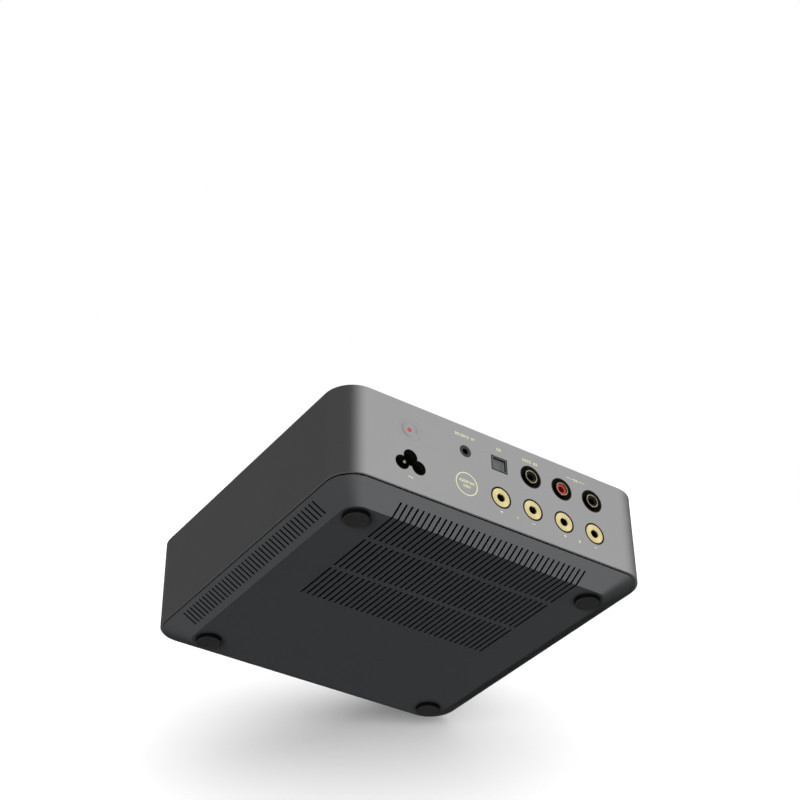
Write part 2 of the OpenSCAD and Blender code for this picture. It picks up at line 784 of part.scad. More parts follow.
// Contact pins of the inlet with their legs to the power board
pin_places = [[button_x - lobe_spread, inlet_z], [button_x + lobe_spread, inlet_z],
    [button_x, inlet_z + lobe_rise]];
module inlet_pins() color(brass) {
    tail = wall_t + inlet_len + 1.5;
    for (p = pin_places) {
        at_rear(p[0], p[1], tail) cylinder(d = pin_d, h = tail - inlet_recess + pin_len);
        block([p[0] - 0.6, p[0] + 0.6], [rear_y - tail, rear_y - tail + 1], [power_top, p[1]]);
    }
}

// Trigger jack: round face in the panel and the body under the main board
module trigger_jack() color("#505254") difference() {
    union() {
        at_rear(jack_x, high_z, wall_t + cut) cylinder(d = jack_d, h = wall_t + cut);
        block([jack_x - jack_w / 2, jack_x + jack_w / 2], [inner_y - jack_len, inner_y],
            [high_z - jack_w / 2, main_z]);
    }
    at_rear(jack_x, high_z, jack_depth) cylinder(d = jack_bore, h = jack_depth + cut);
}

// Optical receiver: frame in the panel, hollow port and the body under the main board
module optical_receiver() color("#4b4d50") difference() {
    union() {
        at_rear(port_x, high_z, wall_t + cut) linear_extrude(wall_t + cut)
            square([port_w, port_h], center = true);
        block([port_x - port_half_w - port_wall, port_x + port_half_w + port_wall],
            [rear_y - port_depth - port_wall, inner_y], [port_floor_z - port_wall, main_z]);
    }
    at_rear(port_x, high_z, port_depth) linear_extrude(port_depth + cut)
        square([opening_w, opening_h], center = true);
    block([port_x - port_half_w, port_x + port_half_w], [rear_y - port_depth, rear_y - port_lip],
        [port_floor_z, port_roof_z]);
    translate([port_x, hinge_y, hinge_z]) rotate([0, 90, 0])
        cylinder(d = hinge_pin_d + 2 * fit, h = 2 * port_half_w + port_wall, center = true);
}

// Spring-loaded shutter of the optical port
module optical_shutter() color("#6a6d6e") difference() {
    half = port_half_w - shutter_gap;
    front = rear_y - port_lip - shutter_gap;
    union() {
        block([port_x - half, port_x + half], [front - shutter_t, front],
            [port_floor_z + shutter_gap, hinge_z]);
        translate([port_x, hinge_y, hinge_z]) rotate([0, 90, 0])
            cylinder(d = barrel_d, h = 2 * half, center = true);
    }
    translate([port_x, hinge_y, hinge_z]) rotate([0, 90, 0])
        cylinder(d = hinge_pin_d + 0.1, h = 2 * port_half_w, center = true);
}

// Hinge pin of the shutter
module shutter_pin() color(steel)
    translate([port_x, hinge_y, hinge_z]) rotate([0, 90, 0])
        cylinder(d = hinge_pin_d, h = 2 * port_half_w + port_wall - 0.2, center = true);

// Body of an input socket: the well in the panel and the block under the main board
module input_body(x) color(black_plastic) difference() {
    union() {
        at_rear(x, high_z, wall_t + cut) cylinder(d = phono_d, h = wall_t + cut);
        block([x - phono_w / 2, x + phono_w / 2], [inner_y - phono_len, inner_y],
            [high_z - phono_w / 2, main_z]);
    }
    at_rear(x, high_z, phono_well) cylinder(d = phono_d - 2 * phono_wall, h = phono_well + cut);
    at_rear(x, high_z, phono_well + sleeve_foot) cylinder(d = sleeve_foot_d + 2 * fit, h = phono_well);
    at_rear(x, high_z, wall_t + phono_len + cut) cylinder(d = stem_d + 2 * fit, h = phono_len);
}

// Gold sleeve of an input socket
module input_sleeve(x) color(gold) at_rear(x, high_z, phono_well + sleeve_foot) {
    len = phono_well + sleeve_foot + sleeve_rise;
    rotate_extrude() polygon([[sleeve_bore / 2, 0], [sleeve_foot_d / 2, 0],
        [sleeve_foot_d / 2, sleeve_foot], [sleeve_d / 2, sleeve_foot], [sleeve_d / 2, len - sleeve_round],
        [sleeve_d / 2 - sleeve_round, len], [sleeve_bore / 2 + sleeve_round, len],
        [sleeve_bore / 2, len - sleeve_round]]);
}

// Coloured insert inside the sleeve
module input_insert(x, tint) color(tint) at_rear(x, high_z, phono_well + sleeve_foot) difference() {
    len = phono_well + sleeve_foot + sleeve_rise - insert_drop;
    cylinder(d = sleeve_bore - 2 * fit, h = len);
    translate([0, 0, insert_floor]) cylinder(d = centre_d, h = len);
    translate([0, 0, -cut]) cylinder(d = stem_d + 2 * fit, h = insert_floor + 2 * cut);
}

// Centre contacts of the input sockets with their legs to the main board
module input_contacts() color(brass) {
    tail = wall_t + phono_len + 1;
    for (x = input_xs) {
        at_rear(x, high_z, tail) cylinder(d = stem_d, h = tail - phono_well - sleeve_foot + insert_floor);
        block([x - 0.5, x + 0.5], [rear_y - tail, rear_y - tail + 0.8], [high_z, main_z]);
    }
}

// Gold speaker socket: disc, barrel and plug hole
module speaker_socket(i) color(gold) at_rear(socket_xs[i], low_z, speaker_len) difference() {
    union() {
        cylinder(d = stem_barrel_d, h = speaker_len);
        translate([0, 0, speaker_len - disc_t]) cylinder(d = disc_d, h = disc_t);
    }
    translate([0, 0, speaker_len - plug_depth]) cylinder(d = plug_d, h = plug_depth + cut);
    ring_d = (disc_d + plug_d) / 2;
    translate([0, 0, speaker_len - groove]) difference() {
        cylinder(d = ring_d + groove, h = cut);
        translate([0, 0, -cut]) cylinder(d = ring_d - groove, h = 3 * cut);
    }
}

// Insulating bushes that hold the gold discs in the panel
module socket_bushes() color(black_plastic) for (x = socket_xs)
    at_rear(x, low_z, wall_t - 0.05) difference() {
        len = wall_t - 0.05;
        union() {
            cylinder(d = stem_barrel_d + 2 * bush_wall, h = len);
            translate([0, 0, len - disc_t - bush_floor]) cylinder(d = bush_d, h = disc_t + bush_floor);
        }
        translate([0, 0, -cut]) cylinder(d = stem_barrel_d + 2 * fit, h = len + 2 * cut);
        translate([0, 0, len - disc_t]) cylinder(d = disc_d + 2 * fit, h = disc_t + cut);
    }

// Insulating washers behind the panel
module socket_washers() color(black_plastic) for (x = socket_xs)
    at_rear(x, low_z, wall_t + washer_t) difference() {
        cylinder(d = washer_d, h = washer_t);
        translate([0, 0, -cut]) cylinder(d = stem_barrel_d + 2 * fit, h = washer_t + 2 * cut);
    }

// Nuts that clamp the speaker sockets
module socket_nuts() color(brass) for (x = socket_xs)
    at_rear(x, low_z, wall_t + washer_t + nut_t) difference() {
        cylinder(d = nut_w / cos(30), h = nut_t, $fn = 6);
        translate([0, 0, -cut]) cylinder(d = stem_barrel_d + 2 * fit, h = nut_t + 2 * cut);
    }

// Leads from the speaker sockets up to the main board
module speaker_leads() color(red_plastic) {
    end_y = rear_y - speaker_len;
    for (x = socket_xs)
        bar([[x, end_y, low_z], [x, end_y - lead_drop, low_z], [x, end_y - lead_drop, main_z]], lead_d);
}

// Outline of a board that keeps clear of the housing's walls and posts
module board_outline(x, y) difference() {
    intersection() {
        rounded_rect(2 * (inner_x - board_gap), 2 * (inner_y - board_gap), corner_r - wall_t - board_gap);
        translate([x[0], y[0]]) square([x[1] - x[0], y[1] - y[0]]);
    }
    for (p = foot_places) translate(p) circle(d = post_d + 2 * post_gap);
}

// Main board, hung from the housing's ceiling with its parts below it
module main_board() color(board_green) translate([0, 0, main_z]) linear_extrude(board_t) difference() {
    board_outline([main_left, main_right], [main_front, inner_y - board_gap]);
    for (p = concat(main_fixings, sink_fixings)) translate(p) circle(d = board_hole);
}

// Power board, carried on the tray's bosses
module power_board() color(board_green) translate([0, 0, power_z]) linear_extrude(board_t) difference() {
    board_outline([power_left, power_right], [power_front, inner_y - board_gap]);
    for (p = power_fixings) translate(p) circle(d = board_hole);
}

// One board screw, its head on a face and its shank pointing up
module board_screw() {
    translate([0, 0, -screw_head_h]) cylinder(d = screw_head_d, h = screw_head_h);
    cylinder(d = screw_d, h = screw_len);
}

// Screws of the main board, the power board, the button board and the heat sink
module board_screws() color(steel) {
    for (p = main_fixings) translate([p[0], p[1], main_z]) board_screw();
    for (p = power_fixings) translate([p[0], p[1], power_top]) mirror([0, 0, 1]) board_screw();
    for (p = sink_fixings) translate([p[0], p[1], main_top]) mirror([0, 0, 1]) board_screw();
    for (x = button_fixings) at_rear(x, high_z, button_board_depth + board_t) board_screw();
}

// Finned heat sink under the amplifier chips, over the vents
module heat_sink() color("#2a2a2b") {
    pitch = (sink_w - fin_t) / (fin_count - 1);
    base_low = chip_z - sink_base;
    difference() {
        translate([sink_x - sink_w / 2, sink_y + sink_len / 2, 0]) rotate([90, 0, 0])
            linear_extrude(sink_len) {
                translate([0, base_low]) square([sink_w, sink_base]);
                for (i = [0:fin_count - 1])
                    translate([i * pitch, base_low - fin_h]) square([fin_t, fin_h + 1]);
            }
        for (p = sink_fixings)
            translate([p[0], p[1], chip_z - sink_base + 0.5]) cylinder(d = screw_bore, h = sink_base);
    }
    for (p = sink_fixings)
        translate([p[0], p[1], chip_z]) difference() {
            cylinder(d = screw_head_d, h = chip_t);
            translate([0, 0, -cut]) cylinder(d = screw_bore, h = chip_t + 2 * cut);
        }
}

// Two power amplifier chips, one for each channel
module amplifier_chips() color(ferrite)
    for (y = chip_ys) standing([sink_x, y], [chip_w, chip_w, chip_t], chip_z);

// Output inductors, two for each channel
module output_inductors() color("#5b5b5e")
    for (x = inductor_xs) translate([x, inductor_y, main_z - inductor_h])
        chamfered_slab(inductor_w, inductor_w, inductor_h, 1.5, 0.5, 0.3);

// Film capacitors of the output filters
module output_capacitors() color("#8f2f2a")
    for (x = inductor_xs) standing([x, film_cap_y], film_cap, main_z - film_cap[2]);

// Can capacitor with its crimp groove, standing on a level
module can_capacitor(place, d, h, z) translate([place[0], place[1], z])
    rotate_extrude() polygon([[0, 0], [d / 2, 0], [d / 2, d * 0.12], [d / 2 - 0.6, d * 0.16],
        [d / 2, d * 0.2], [d / 2, h - 0.6], [d / 2 - 0.6, h], [0, h]]);

// Supply capacitors under the main board
module supply_capacitors() color("#23262b")
    for (y = supply_cap_ys) translate([0, 0, 2 * main_z]) mirror([0, 0, 1])
        can_capacitor([supply_cap_x, y], supply_cap_d, supply_cap_h, main_z);

// Signal processor and converter
module signal_chips() color(ferrite)
    for (p = signal_chip_places)
        standing(p, [signal_chip_w, signal_chip_w, signal_chip_t], main_z - signal_chip_t);

// Wireless module with its screening can
module wireless_module() color(tin)
    standing(module_place, [module_len, module_w, module_t], main_z - module_t);

// Flat antenna on the tray's floor
module antenna() color("#b98a3a")
    standing(antenna_place, [antenna_size[0], antenna_size[1], antenna_t], floor_z);

// Lead from the antenna up to the wireless module
module antenna_lead() color(black_plastic) {
    x = module_place[0] + module_len / 2 - 2 * antenna_lead_d;
    z = floor_z + antenna_t + antenna_lead_d / 2;
    bar([[x, antenna_place[1], z], [x, module_place[1], z],
        [x, module_place[1], main_z - module_t]], antenna_lead_d);
}

// Transformer core with its two windows
module transformer_core() color(ferrite) difference() {
    standing(core_place, [core_w, core_t, core_h], power_top);
    window_w = (core_w - 2 * core_leg - core_mid) / 2;
    for (s = [-1, 1])
        translate([core_place[0] + s * (core_mid + window_w) / 2, core_place[1], power_top + core_h / 2])
            cube([window_w, core_t + 2 * cut, core_h - 2 * core_leg], center = true);
}

// Transformer winding on its bobbin, around the middle leg
module transformer_winding() color("#c9a227")
    translate([core_place[0], core_place[1], power_top + core_leg + winding_gap])
        linear_extrude(core_h - 2 * core_leg - 2 * winding_gap) difference() {
            rounded_rect(core_mid + 2 * winding_t, core_t + 2 * winding_t, winding_t / 2);
            square([core_mid + 2 * winding_gap, core_t + 2 * winding_gap], center = true);
        }

// Bulk capacitor behind the rectifier
module bulk_capacitor() color("#23262b") can_capacitor(bulk_cap_place, bulk_cap_d, bulk_cap_h, power_top);

// Filter capacitors after the transformer
module filter_capacitors() color("#23262b")
    for (x = filter_cap_xs) can_capacitor([x, filter_cap_y], filter_cap_d, filter_cap_h, power_top);

// Mains suppression capacitor
module suppression_capacitor() color("#b9a13c")
    translate([x_cap_place[0], x_cap_place[1], power_top]) chamfered_slab(x_cap[0], x_cap[1], x_cap[2], 1, 0.3, 0.5);

// Mains choke: wound ring on its base
module mains_choke() color(copper) translate([choke_place[0], choke_place[1], power_top]) {
    linear_extrude(choke_base_t) square(choke_d, center = true);
    translate([0, 0, choke_base_t - 0.2]) rotate_extrude() {
        translate([choke_d / 4 + 0.5, 0]) square([choke_d / 4 - 0.5, choke_h]);
    }
}

// Mains fuse, lying along the board
module mains_fuse() color("#c8d2d6")
    translate([fuse_place[0], fuse_place[1] + fuse_len / 2, power_top + fuse_lift])
        rotate([90, 0, 0]) cylinder(d = fuse_d, h = fuse_len);

// Clips that hold the fuse
module fuse_clips() color(tin) for (s = [-1, 1])
    difference() {
        standing([fuse_place[0], fuse_place[1] + s * (fuse_len / 2 - clip_t)],
            [clip_w, clip_t, fuse_lift + fuse_d / 4], power_top);
        translate([fuse_place[0], fuse_place[1] + fuse_len, power_top + fuse_lift])
            rotate([90, 0, 0]) cylinder(d = fuse_d + 2 * fit, h = 2 * fuse_len);
    }

// Bridge rectifier
module bridge_rectifier() color(ferrite) standing(rectifier_place, rectifier, power_top);

// Cable with its two headers, from the power board up to the main board
module power_cable() color("#d0d0cc") {
    standing([power_header_x, header_y], header, power_top);
    standing([main_header_x, header_y], header, main_z - header[2]);
    for (i = [0:cable_wires - 1]) {
        y = header_y + (i - (cable_wires - 1) / 2) * wire_pitch;
        bar([[power_header_x, y, power_top + header[2] - 0.5], [power_header_x, y, cable_bend_z],
            [main_header_x, y, cable_bend_z], [main_header_x, y, main_z - header[2] + 0.5]], cable_d);
    }
}

housing();
base_tray();
foot(foot_places[0]);  // foot_rear_left
foot(foot_places[1]);  // foot_rear_right
foot(foot_places[2]);  // foot_front_left
foot(foot_places[3]);  // foot_front_right
base_screws();
button_cap();
button_light_guide();
switch_plunger();
button_switch();
status_led();
button_board();
button_cable();
inlet_body();
inlet_pins();
trigger_jack();
optical_receiver();
optical_shutter();
shutter_pin();
input_body(input_xs[0]);  // digital_input_body
input_body(input_xs[1]);  // right_input_body
input_body(input_xs[2]);  // left_input_body
input_sleeve(input_xs[0]);  // digital_input_sleeve
input_sleeve(input_xs[1]);  // right_input_sleeve
input_sleeve(input_xs[2]);  // left_input_sleeve
input_insert(input_xs[0], "#2b2a26");  // digital_input_insert
input_insert(input_xs[1], red_plastic);  // right_input_insert
input_insert(input_xs[2], "#2b2a26");  // left_input_insert
input_contacts();
speaker_socket(0);  // speaker_socket_1
speaker_socket(1);  // speaker_socket_2
speaker_socket(2);  // speaker_socket_3
speaker_socket(3);  // speaker_socket_4
socket_bushes();
socket_washers();
socket_nuts();
speaker_leads();
main_board();
board_screws();
heat_sink();
amplifier_chips();
output_inductors();
output_capacitors();
supply_capacitors();
signal_chips();
wireless_module();
antenna();
antenna_lead();
power_board();
transformer_core();
transformer_winding();
bulk_capacitor();
filter_capacitors();
suppression_capacitor();
mains_choke();
mains_fuse();
fuse_clips();
bridge_rectifier();
power_cable();
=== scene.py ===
"""Looks of a compact audio amplifier: materials, fine pieces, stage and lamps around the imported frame."""

import json
import math

import bpy
import numpy as np
from bpy.props import FloatProperty, FloatVectorProperty, IntProperty, PointerProperty
from mathutils import Matrix, Vector

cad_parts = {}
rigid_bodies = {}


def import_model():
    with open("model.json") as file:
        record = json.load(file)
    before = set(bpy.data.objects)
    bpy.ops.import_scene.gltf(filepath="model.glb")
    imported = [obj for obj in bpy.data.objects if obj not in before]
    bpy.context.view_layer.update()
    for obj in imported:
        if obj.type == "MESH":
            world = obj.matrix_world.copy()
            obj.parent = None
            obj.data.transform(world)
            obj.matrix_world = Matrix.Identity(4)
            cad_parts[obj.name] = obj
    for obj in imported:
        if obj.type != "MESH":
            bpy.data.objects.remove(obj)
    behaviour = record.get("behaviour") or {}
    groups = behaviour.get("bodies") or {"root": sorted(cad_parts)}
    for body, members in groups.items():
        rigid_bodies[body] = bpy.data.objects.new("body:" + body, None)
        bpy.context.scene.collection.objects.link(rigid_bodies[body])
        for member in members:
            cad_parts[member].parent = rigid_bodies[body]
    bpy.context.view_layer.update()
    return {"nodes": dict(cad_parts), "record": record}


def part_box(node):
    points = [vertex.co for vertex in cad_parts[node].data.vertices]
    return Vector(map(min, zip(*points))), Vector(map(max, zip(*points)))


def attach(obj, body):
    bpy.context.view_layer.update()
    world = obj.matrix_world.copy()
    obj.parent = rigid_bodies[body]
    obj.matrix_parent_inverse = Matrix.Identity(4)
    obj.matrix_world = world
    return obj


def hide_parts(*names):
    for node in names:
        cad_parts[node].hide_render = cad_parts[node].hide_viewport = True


bl_info = {
    "name": "Audio amplifier looks",
    "version": (1, 0, 0),
    "blender": (4, 5, 0),
    "location": "View3D > Sidebar > Amplifier",
    "description": "Materials, fine pieces, stage and lamps of a compact audio amplifier",
    "category": "Object",
}

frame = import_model()

MM = 0.001
MAIN = "amplifier"

# Places on the rear panel, in millimetres: Y of its face, and X and Z of what it carries
PANEL = 90.0
HIGH_ROW, HIGH_MARKS, LOW_MARKS = 43.9, 52.6, 16.94
PORT_X, PORT_W, PORT_H = 0.7, 9.3, 8.2
# The inlet's opening joins a lobe around each pin and a circle in its middle, which has X, Z and radius
INLET_X, INLET_PINS, LOBE_R = 52.7, ((48.1, 23.65), (57.3, 23.65), (52.7, 28.35)), 3.65
INLET_HEART = (52.7, 25.53, 2.263)
RING_X, RING_Z = 20.75, 25.2

# Printed marks. A number has its text, X and Z of its middle, its width and its share of the mark height
CHANNEL_SHARE = 0.9375
PANEL_NUMBERS = [
    ("3512012 01", 20.8, HIGH_MARKS, 11.8, 1), ("02", 0.7, HIGH_MARKS, 2.4, 1),
    ("0375 03", -18.3, HIGH_MARKS, 9.0, 1), ("04", -46.7, HIGH_MARKS, 2.2, 1),
    ("4208160", RING_X, 26.5, 8.6, 1), ("050", RING_X, 23.9, 3.9, 1),
    ("1", -8.7, LOW_MARKS, 0.7, CHANNEL_SHARE), ("2", -46.2, LOW_MARKS, 1.0, CHANNEL_SHARE),
]
# X of both ends of a line, and X of the middle of a sign
PANEL_LINES = [(-41.0, -45.0), (-48.4, -52.4)]
PANEL_PLUSES, PANEL_MINUSES = [0.7, -37.3], [-18.3, -56.3]


# Colour

def tone(code):
    """Linear RGBA of an sRGB hex code: c / 12.92 below 0.04045, else ((c + 0.055) / 1.055) ** 2.4. A colour
    from the settings is linear already."""
    if not isinstance(code, str):
        return tuple(code)
    parts = [int(code[i:i + 2], 16) / 255 for i in (1, 3, 5)]
    linear = [c / 12.92 if c <= 0.04045 else ((c + 0.055) / 1.055) ** 2.4 for c in parts]
    return (*linear, 1.0)


# Surfaces

def round_corners(points, radii, steps=6, support=0.04):
    """Polyline with arcs at its inner corners. An arc of radius r at a corner of angle a touches both legs
    at r / tan(a / 2) from the corner, and its centre lies r / sin(a / 2) along the bisector. A support point
    is added just outside each end of an arc, so that flats stay flat under smooth shading."""
    points = [np.array(p, float) for p in points]
    out = [points[0]]
    for before, here, after, r in zip(points, points[1:], points[2:], radii):
        back = (before - here) / np.linalg.norm(before - here)
        ahead = (after - here) / np.linalg.norm(after - here)
        half = math.acos(float(np.clip(back @ ahead, -1, 1))) / 2
        if r <= 0 or half > 1.56:
            out.append(here)
            continue
        reach = r / math.tan(half)
        middle = here + (back + ahead) / np.linalg.norm(back + ahead) * r / math.sin(half)
        start, end = here + back * reach, here + ahead * reach
        a = math.atan2(*(start - middle)[::-1])
        b = math.atan2(*(end - middle)[::-1])
        turn = (b - a + math.pi) % (2 * math.pi) - math.pi
        out.append(start + back * support)
        for t in a + turn * np.linspace(0, 1, steps):
            out.append(middle + r * np.array([math.cos(t), math.sin(t)]))
        out.append(end + ahead * support)
    out.append(points[-1])
    return np.array(out)


def closed_profile(corners, radii, steps=6, support=0.04):
    """Closed profile with a radius at each corner. It starts halfway along its last edge."""
    start = (np.array(corners[0], float) + corners[-1]) / 2
    return round_corners([start, *corners, start], radii, steps, support)[:-1]


def around(count):
    """Evenly spaced angles of a full turn."""
    return np.linspace(0, 2 * math.pi, count, endpoint=False)


def straight(start, end, count=6):
    """Evenly spaced points of a straight line."""
    return np.linspace(np.array(start, float), np.array(end, float), count)


def arc(x, z, rx, rz, start, end, count=14):
    """Points of an elliptic arc between two angles in degrees."""
    t = np.radians(np.linspace(start, end, count))
    return np.stack([x + rx * np.cos(t), z + rz * np.sin(t)], 1)


def bent(*corners):
    """Points of a line that runs straight from corner to corner."""
    legs = [straight(a, b, 5) for a, b in zip(corners, corners[1:])]
    return np.concatenate([legs[0], *(leg[1:] for leg in legs[1:])])


def box_path(x, z, half_w, half_h, r, steps=6):
    """Rounded rectangle in the panel plane, run so that its inside lies to the left."""
    corners = [(x + half_w - r, z + half_h - r, 0), (x - half_w + r, z + half_h - r, 90),
               (x - half_w + r, z - half_h + r, 180), (x + half_w - r, z - half_h + r, 270)]
    return np.concatenate([arc(cx, cz, r, r, a, a + 90, steps) for cx, cz, a in corners])


def union_outline(circles, farthest=1.5):
    """Outline of the union of circles: the arc points that lie outside every other circle, each chained to
    the nearest one left, as long as that is near enough."""
    kept = []
    for k, (cx, cz, r) in enumerate(circles):
        points = arc(cx, cz, r, r, 0, 360, 361)[:-1]
        outside = np.ones(len(points), bool)
        for m, (ox, oz, o) in enumerate(circles):
            if m != k:
                outside &= np.hypot(points[:, 0] - ox, points[:, 1] - oz) > o
        kept.append(points[outside])
    left = np.concatenate(kept)
    chain = [left[0]]
    left = left[1:]
    while len(left):
        gaps = np.hypot(*(left - chain[-1]).T)
        nearest = int(gaps.argmin())
        if gaps[nearest] > farthest:
            break
        chain.append(left[nearest])
        left = np.delete(left, nearest, 0)
    chain = np.array(chain)
    area = np.sum(chain[:, 0] * np.roll(chain[:, 1], -1) - np.roll(chain[:, 0], -1) * chain[:, 1])
    return chain if area > 0 else chain[::-1]


def skin(grid, wrap_rows, wrap_columns):
    """Points and quads of a grid P(i, j), joined end to end in the directions that wrap."""
    rows, columns = grid.shape[:2]
    i = np.arange(rows if wrap_rows else rows - 1)
    j = np.arange(columns if wrap_columns else columns - 1)
    i, j = (a.ravel() for a in np.meshgrid(i, j, indexing="ij"))
    following = (i + 1) % rows
    beside = (j + 1) % columns
    quads = np.stack([i * columns + j, following * columns + j,
                      following * columns + beside, i * columns + beside], 1)
    return grid.reshape(-1, 3), quads


def weld(points, quads):
    """Merges points that coincide, so that seams and poles close, and drops the edges that vanish."""
    keys = np.round(points * 1e7).astype(np.int64)
    _, first, back = np.unique(keys, axis=0, return_index=True, return_inverse=True)
    back = back.ravel()
    faces = []
    for quad in back[quads]:
        face = [int(v) for k, v in enumerate(quad) if v != quad[k - 1]]
        if len(set(face)) >= 3:
            faces.append(face)
    return points[first], faces


def outward(points, faces):
    """Turns every face round when the enclosed volume, the sum of p0 . (p1 x p2) / 6, is negative."""
    volume = 0.0
    for face in faces:
        a = points[face[0]]
        for k in range(1, len(face) - 1):
            volume += float(np.dot(a, np.cross(points[face[k]], points[face[k + 1]])))
    return [face[::-1] for face in faces] if volume < 0 else faces


def capped(rows):
    """Points and faces of a solid from closed rows of points, with faces to the middle of each end."""
    ends = [np.repeat(row.mean(0)[None], len(row), 0) for row in (rows[0], rows[-1])]
    points, faces = weld(*skin(np.array([ends[0], *rows, ends[1]]), False, True))
    return points, outward(points, faces)


def pillow(x, z, half_w, half_h, r, levels):
    """Stack of rounded rectangles, closed flat. A level gives the inset from the outline and the height."""
    rows = []
    for inset, y in levels:
        loop = box_path(x, z, half_w - inset, half_h - inset, r)
        rows.append(np.column_stack([loop[:, 0], np.full(len(loop), y), loop[:, 1]]))
    return *capped(rows), (x, z)


def turned(profile, centre, sides=96, closed=False):
    """Solid turned about the line through (x0, z0) along Y:
    P(s, t) = (x0 + r(s) cos t, y(s), z0 + r(s) sin t)."""
    r, y = np.asarray(profile, float).T
    t = around(sides)
    grid = np.stack([centre[0] + np.outer(r, np.cos(t)), np.repeat(y[:, None], sides, 1),
                     centre[1] + np.outer(r, np.sin(t))], -1)
    points, faces = weld(*skin(grid, closed, True))
    return points, outward(points, faces), centre


def stood(profile, centre, sides=96):
    """Solid turned about an upright line through (x0, y0):
    P(s, t) = (x0 + r(s) cos t, y0 + r(s) sin t, z(s))."""
    r, z = np.asarray(profile, float).T
    t = around(sides)
    grid = np.stack([centre[0] + np.outer(r, np.cos(t)), centre[1] + np.outer(r, np.sin(t)),
                     np.repeat(z[:, None], sides, 1)], -1)
    points, faces = weld(*skin(grid, False, True))
    return points, outward(points, faces), centre


def stroke(path, width, height, level, closed=False):
    """Printed line on the rear face: a low domed band, h(s) = height * sqrt(1 - (2 s / width) ** 2), along
    a path of (x, z) points. An open end is round: its width shrinks as sqrt(1 - d ** 2). The band's root
    lies a little under the face."""
    root_half, root = 0.5, -0.3
    path = np.asarray(path, float)
    ahead = np.roll(path, -1, 0) - np.roll(path, 1, 0) if closed else np.gradient(path, axis=0)
    ahead /= np.linalg.norm(ahead, axis=1)[:, None]
    scale = np.ones(len(path))
    if not closed:
        d = np.sin(np.linspace(0, 1, 5) * math.pi / 2)[::-1][:, None]
        shrink = np.sqrt(np.clip(1 - d[:, 0] ** 2, 0, 1))
        first, last = path[0] - ahead[0] * width / 2 * d, path[-1] + ahead[-1] * width / 2 * d[::-1]
        path = np.concatenate([first, path, last])
        ahead = np.concatenate([np.repeat(ahead[:1], 5, 0), ahead, np.repeat(ahead[-1:], 5, 0)])
        scale = np.concatenate([shrink, scale, shrink[::-1]])
    across = np.stack([-ahead[:, 1], ahead[:, 0]], 1)
    s = np.sin(np.linspace(-1, 1, 7) * math.pi / 2)
    rise = np.sqrt(np.clip(1 - s ** 2, 0, 1))
    s, rise = np.append(s, [root_half, -root_half]), np.append(rise, [root, root])
    plane = path[:, None] + across[:, None] * (s * width / 2)[None, :, None] * scale[:, None, None]
    depth = level + height * rise[None] * scale[:, None]
    grid = np.stack([plane[..., 0], depth, plane[..., 1]], -1)
    points, faces = weld(*skin(grid, closed, True))
    return points, outward(points, faces), (0.0, 0.0)


def band(path, section, level):
    """Solid band along a closed path of (x, z) points on the rear face. The section lists (inwards, y)
    points, and inwards is measured along the path's own normal, to the left of its run."""
    path = np.asarray(path, float)
    ahead = np.roll(path, -1, 0) - np.roll(path, 1, 0)
    ahead /= np.linalg.norm(ahead, axis=1)[:, None]
    across = np.stack([-ahead[:, 1], ahead[:, 0]], 1)
    section = np.asarray(section, float)
    plane = path[:, None] + across[:, None] * section[None, :, :1]
    depth = np.repeat(level + section[None, :, 1], len(path), 0)
    grid = np.stack([plane[..., 0], depth, plane[..., 1]], -1)
    points, faces = weld(*skin(grid, True, True))
    return points, outward(points, faces), (0.0, 0.0)


def build(name, parts, material, body=MAIN, replaces=()):
    """One mesh object in metres from solids in millimetres. The attribute from_axis keeps each point's place
    relative to its own solid's axis, in millimetres."""
    points, faces, places, start = [], [], [], 0
    for part, part_faces, centre in parts:
        points.append(part)
        places.append(np.stack([part[:, 0] - centre[0], part[:, 1], part[:, 2] - centre[1]], 1))
        faces += [[v + start for v in face] for face in part_faces]
        start += len(part)
    mesh = bpy.data.meshes.new(name)
    mesh.from_pydata((np.concatenate(points) * MM).tolist(), [], faces)
    mesh.polygons.foreach_set("use_smooth", np.ones(len(faces), bool))
    spot = mesh.attributes.new("from_axis", "FLOAT_VECTOR", "POINT")
    spot.data.foreach_set("vector", np.concatenate(places).astype(np.float32).ravel())
    mesh.update()
    piece = bpy.data.objects.new(name, mesh)
    bpy.context.scene.collection.objects.link(piece)
    mesh.materials.append(material)
    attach(piece, body)
    if replaces:
        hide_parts(*replaces)
    return piece


def box_of(node):
    """Lowest and highest corner of a CAD node in millimetres."""
    return [np.array(corner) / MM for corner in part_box(node)]


def lathe_place(node):
    """Axis (x, z), radius, back and front of a round CAD node that lies along Y, in millimetres."""
    low, high = box_of(node)
    middle = (low + high) / 2
    return (middle[0], middle[2]), (high[0] - low[0]) / 2, low[1], high[1]


# Shader parts

def put(tree, kind, links=(), **settings):
    """Adds one node. Settings are its own properties, and links give each input a value or another output."""
    node = tree.nodes.new(kind)
    for key, value in settings.items():
        setattr(node, key, value)
    for key, value in dict(links).items():
        if isinstance(value, bpy.types.NodeSocket):
            tree.links.new(value, node.inputs[key])
        else:
            node.inputs[key].default_value = value
    return node


def own_place(tree):
    """Place on a piece in its own coordinates, in metres."""
    return put(tree, "ShaderNodeTexCoord").outputs["Object"]


def noise(tree, size, detail=2.0, rough=0.5, vector=None):
    """Noise whose features are about size millimetres wide."""
    if vector is None:
        vector = own_place(tree)
    node = put(tree, "ShaderNodeTexNoise", {"Vector": vector, "Scale": 1 / (size * MM), "Detail": detail,
                                            "Roughness": rough})
    return node.outputs["Fac"]


def spread(tree, value, low, high, start=0.3, end=0.7, kind="LINEAR"):
    """Carries a value from start..end over to low..high."""
    return put(tree, "ShaderNodeMapRange", {"Value": value, "From Min": start, "From Max": end, "To Min": low,
                                            "To Max": high}, interpolation_type=kind).outputs["Result"]


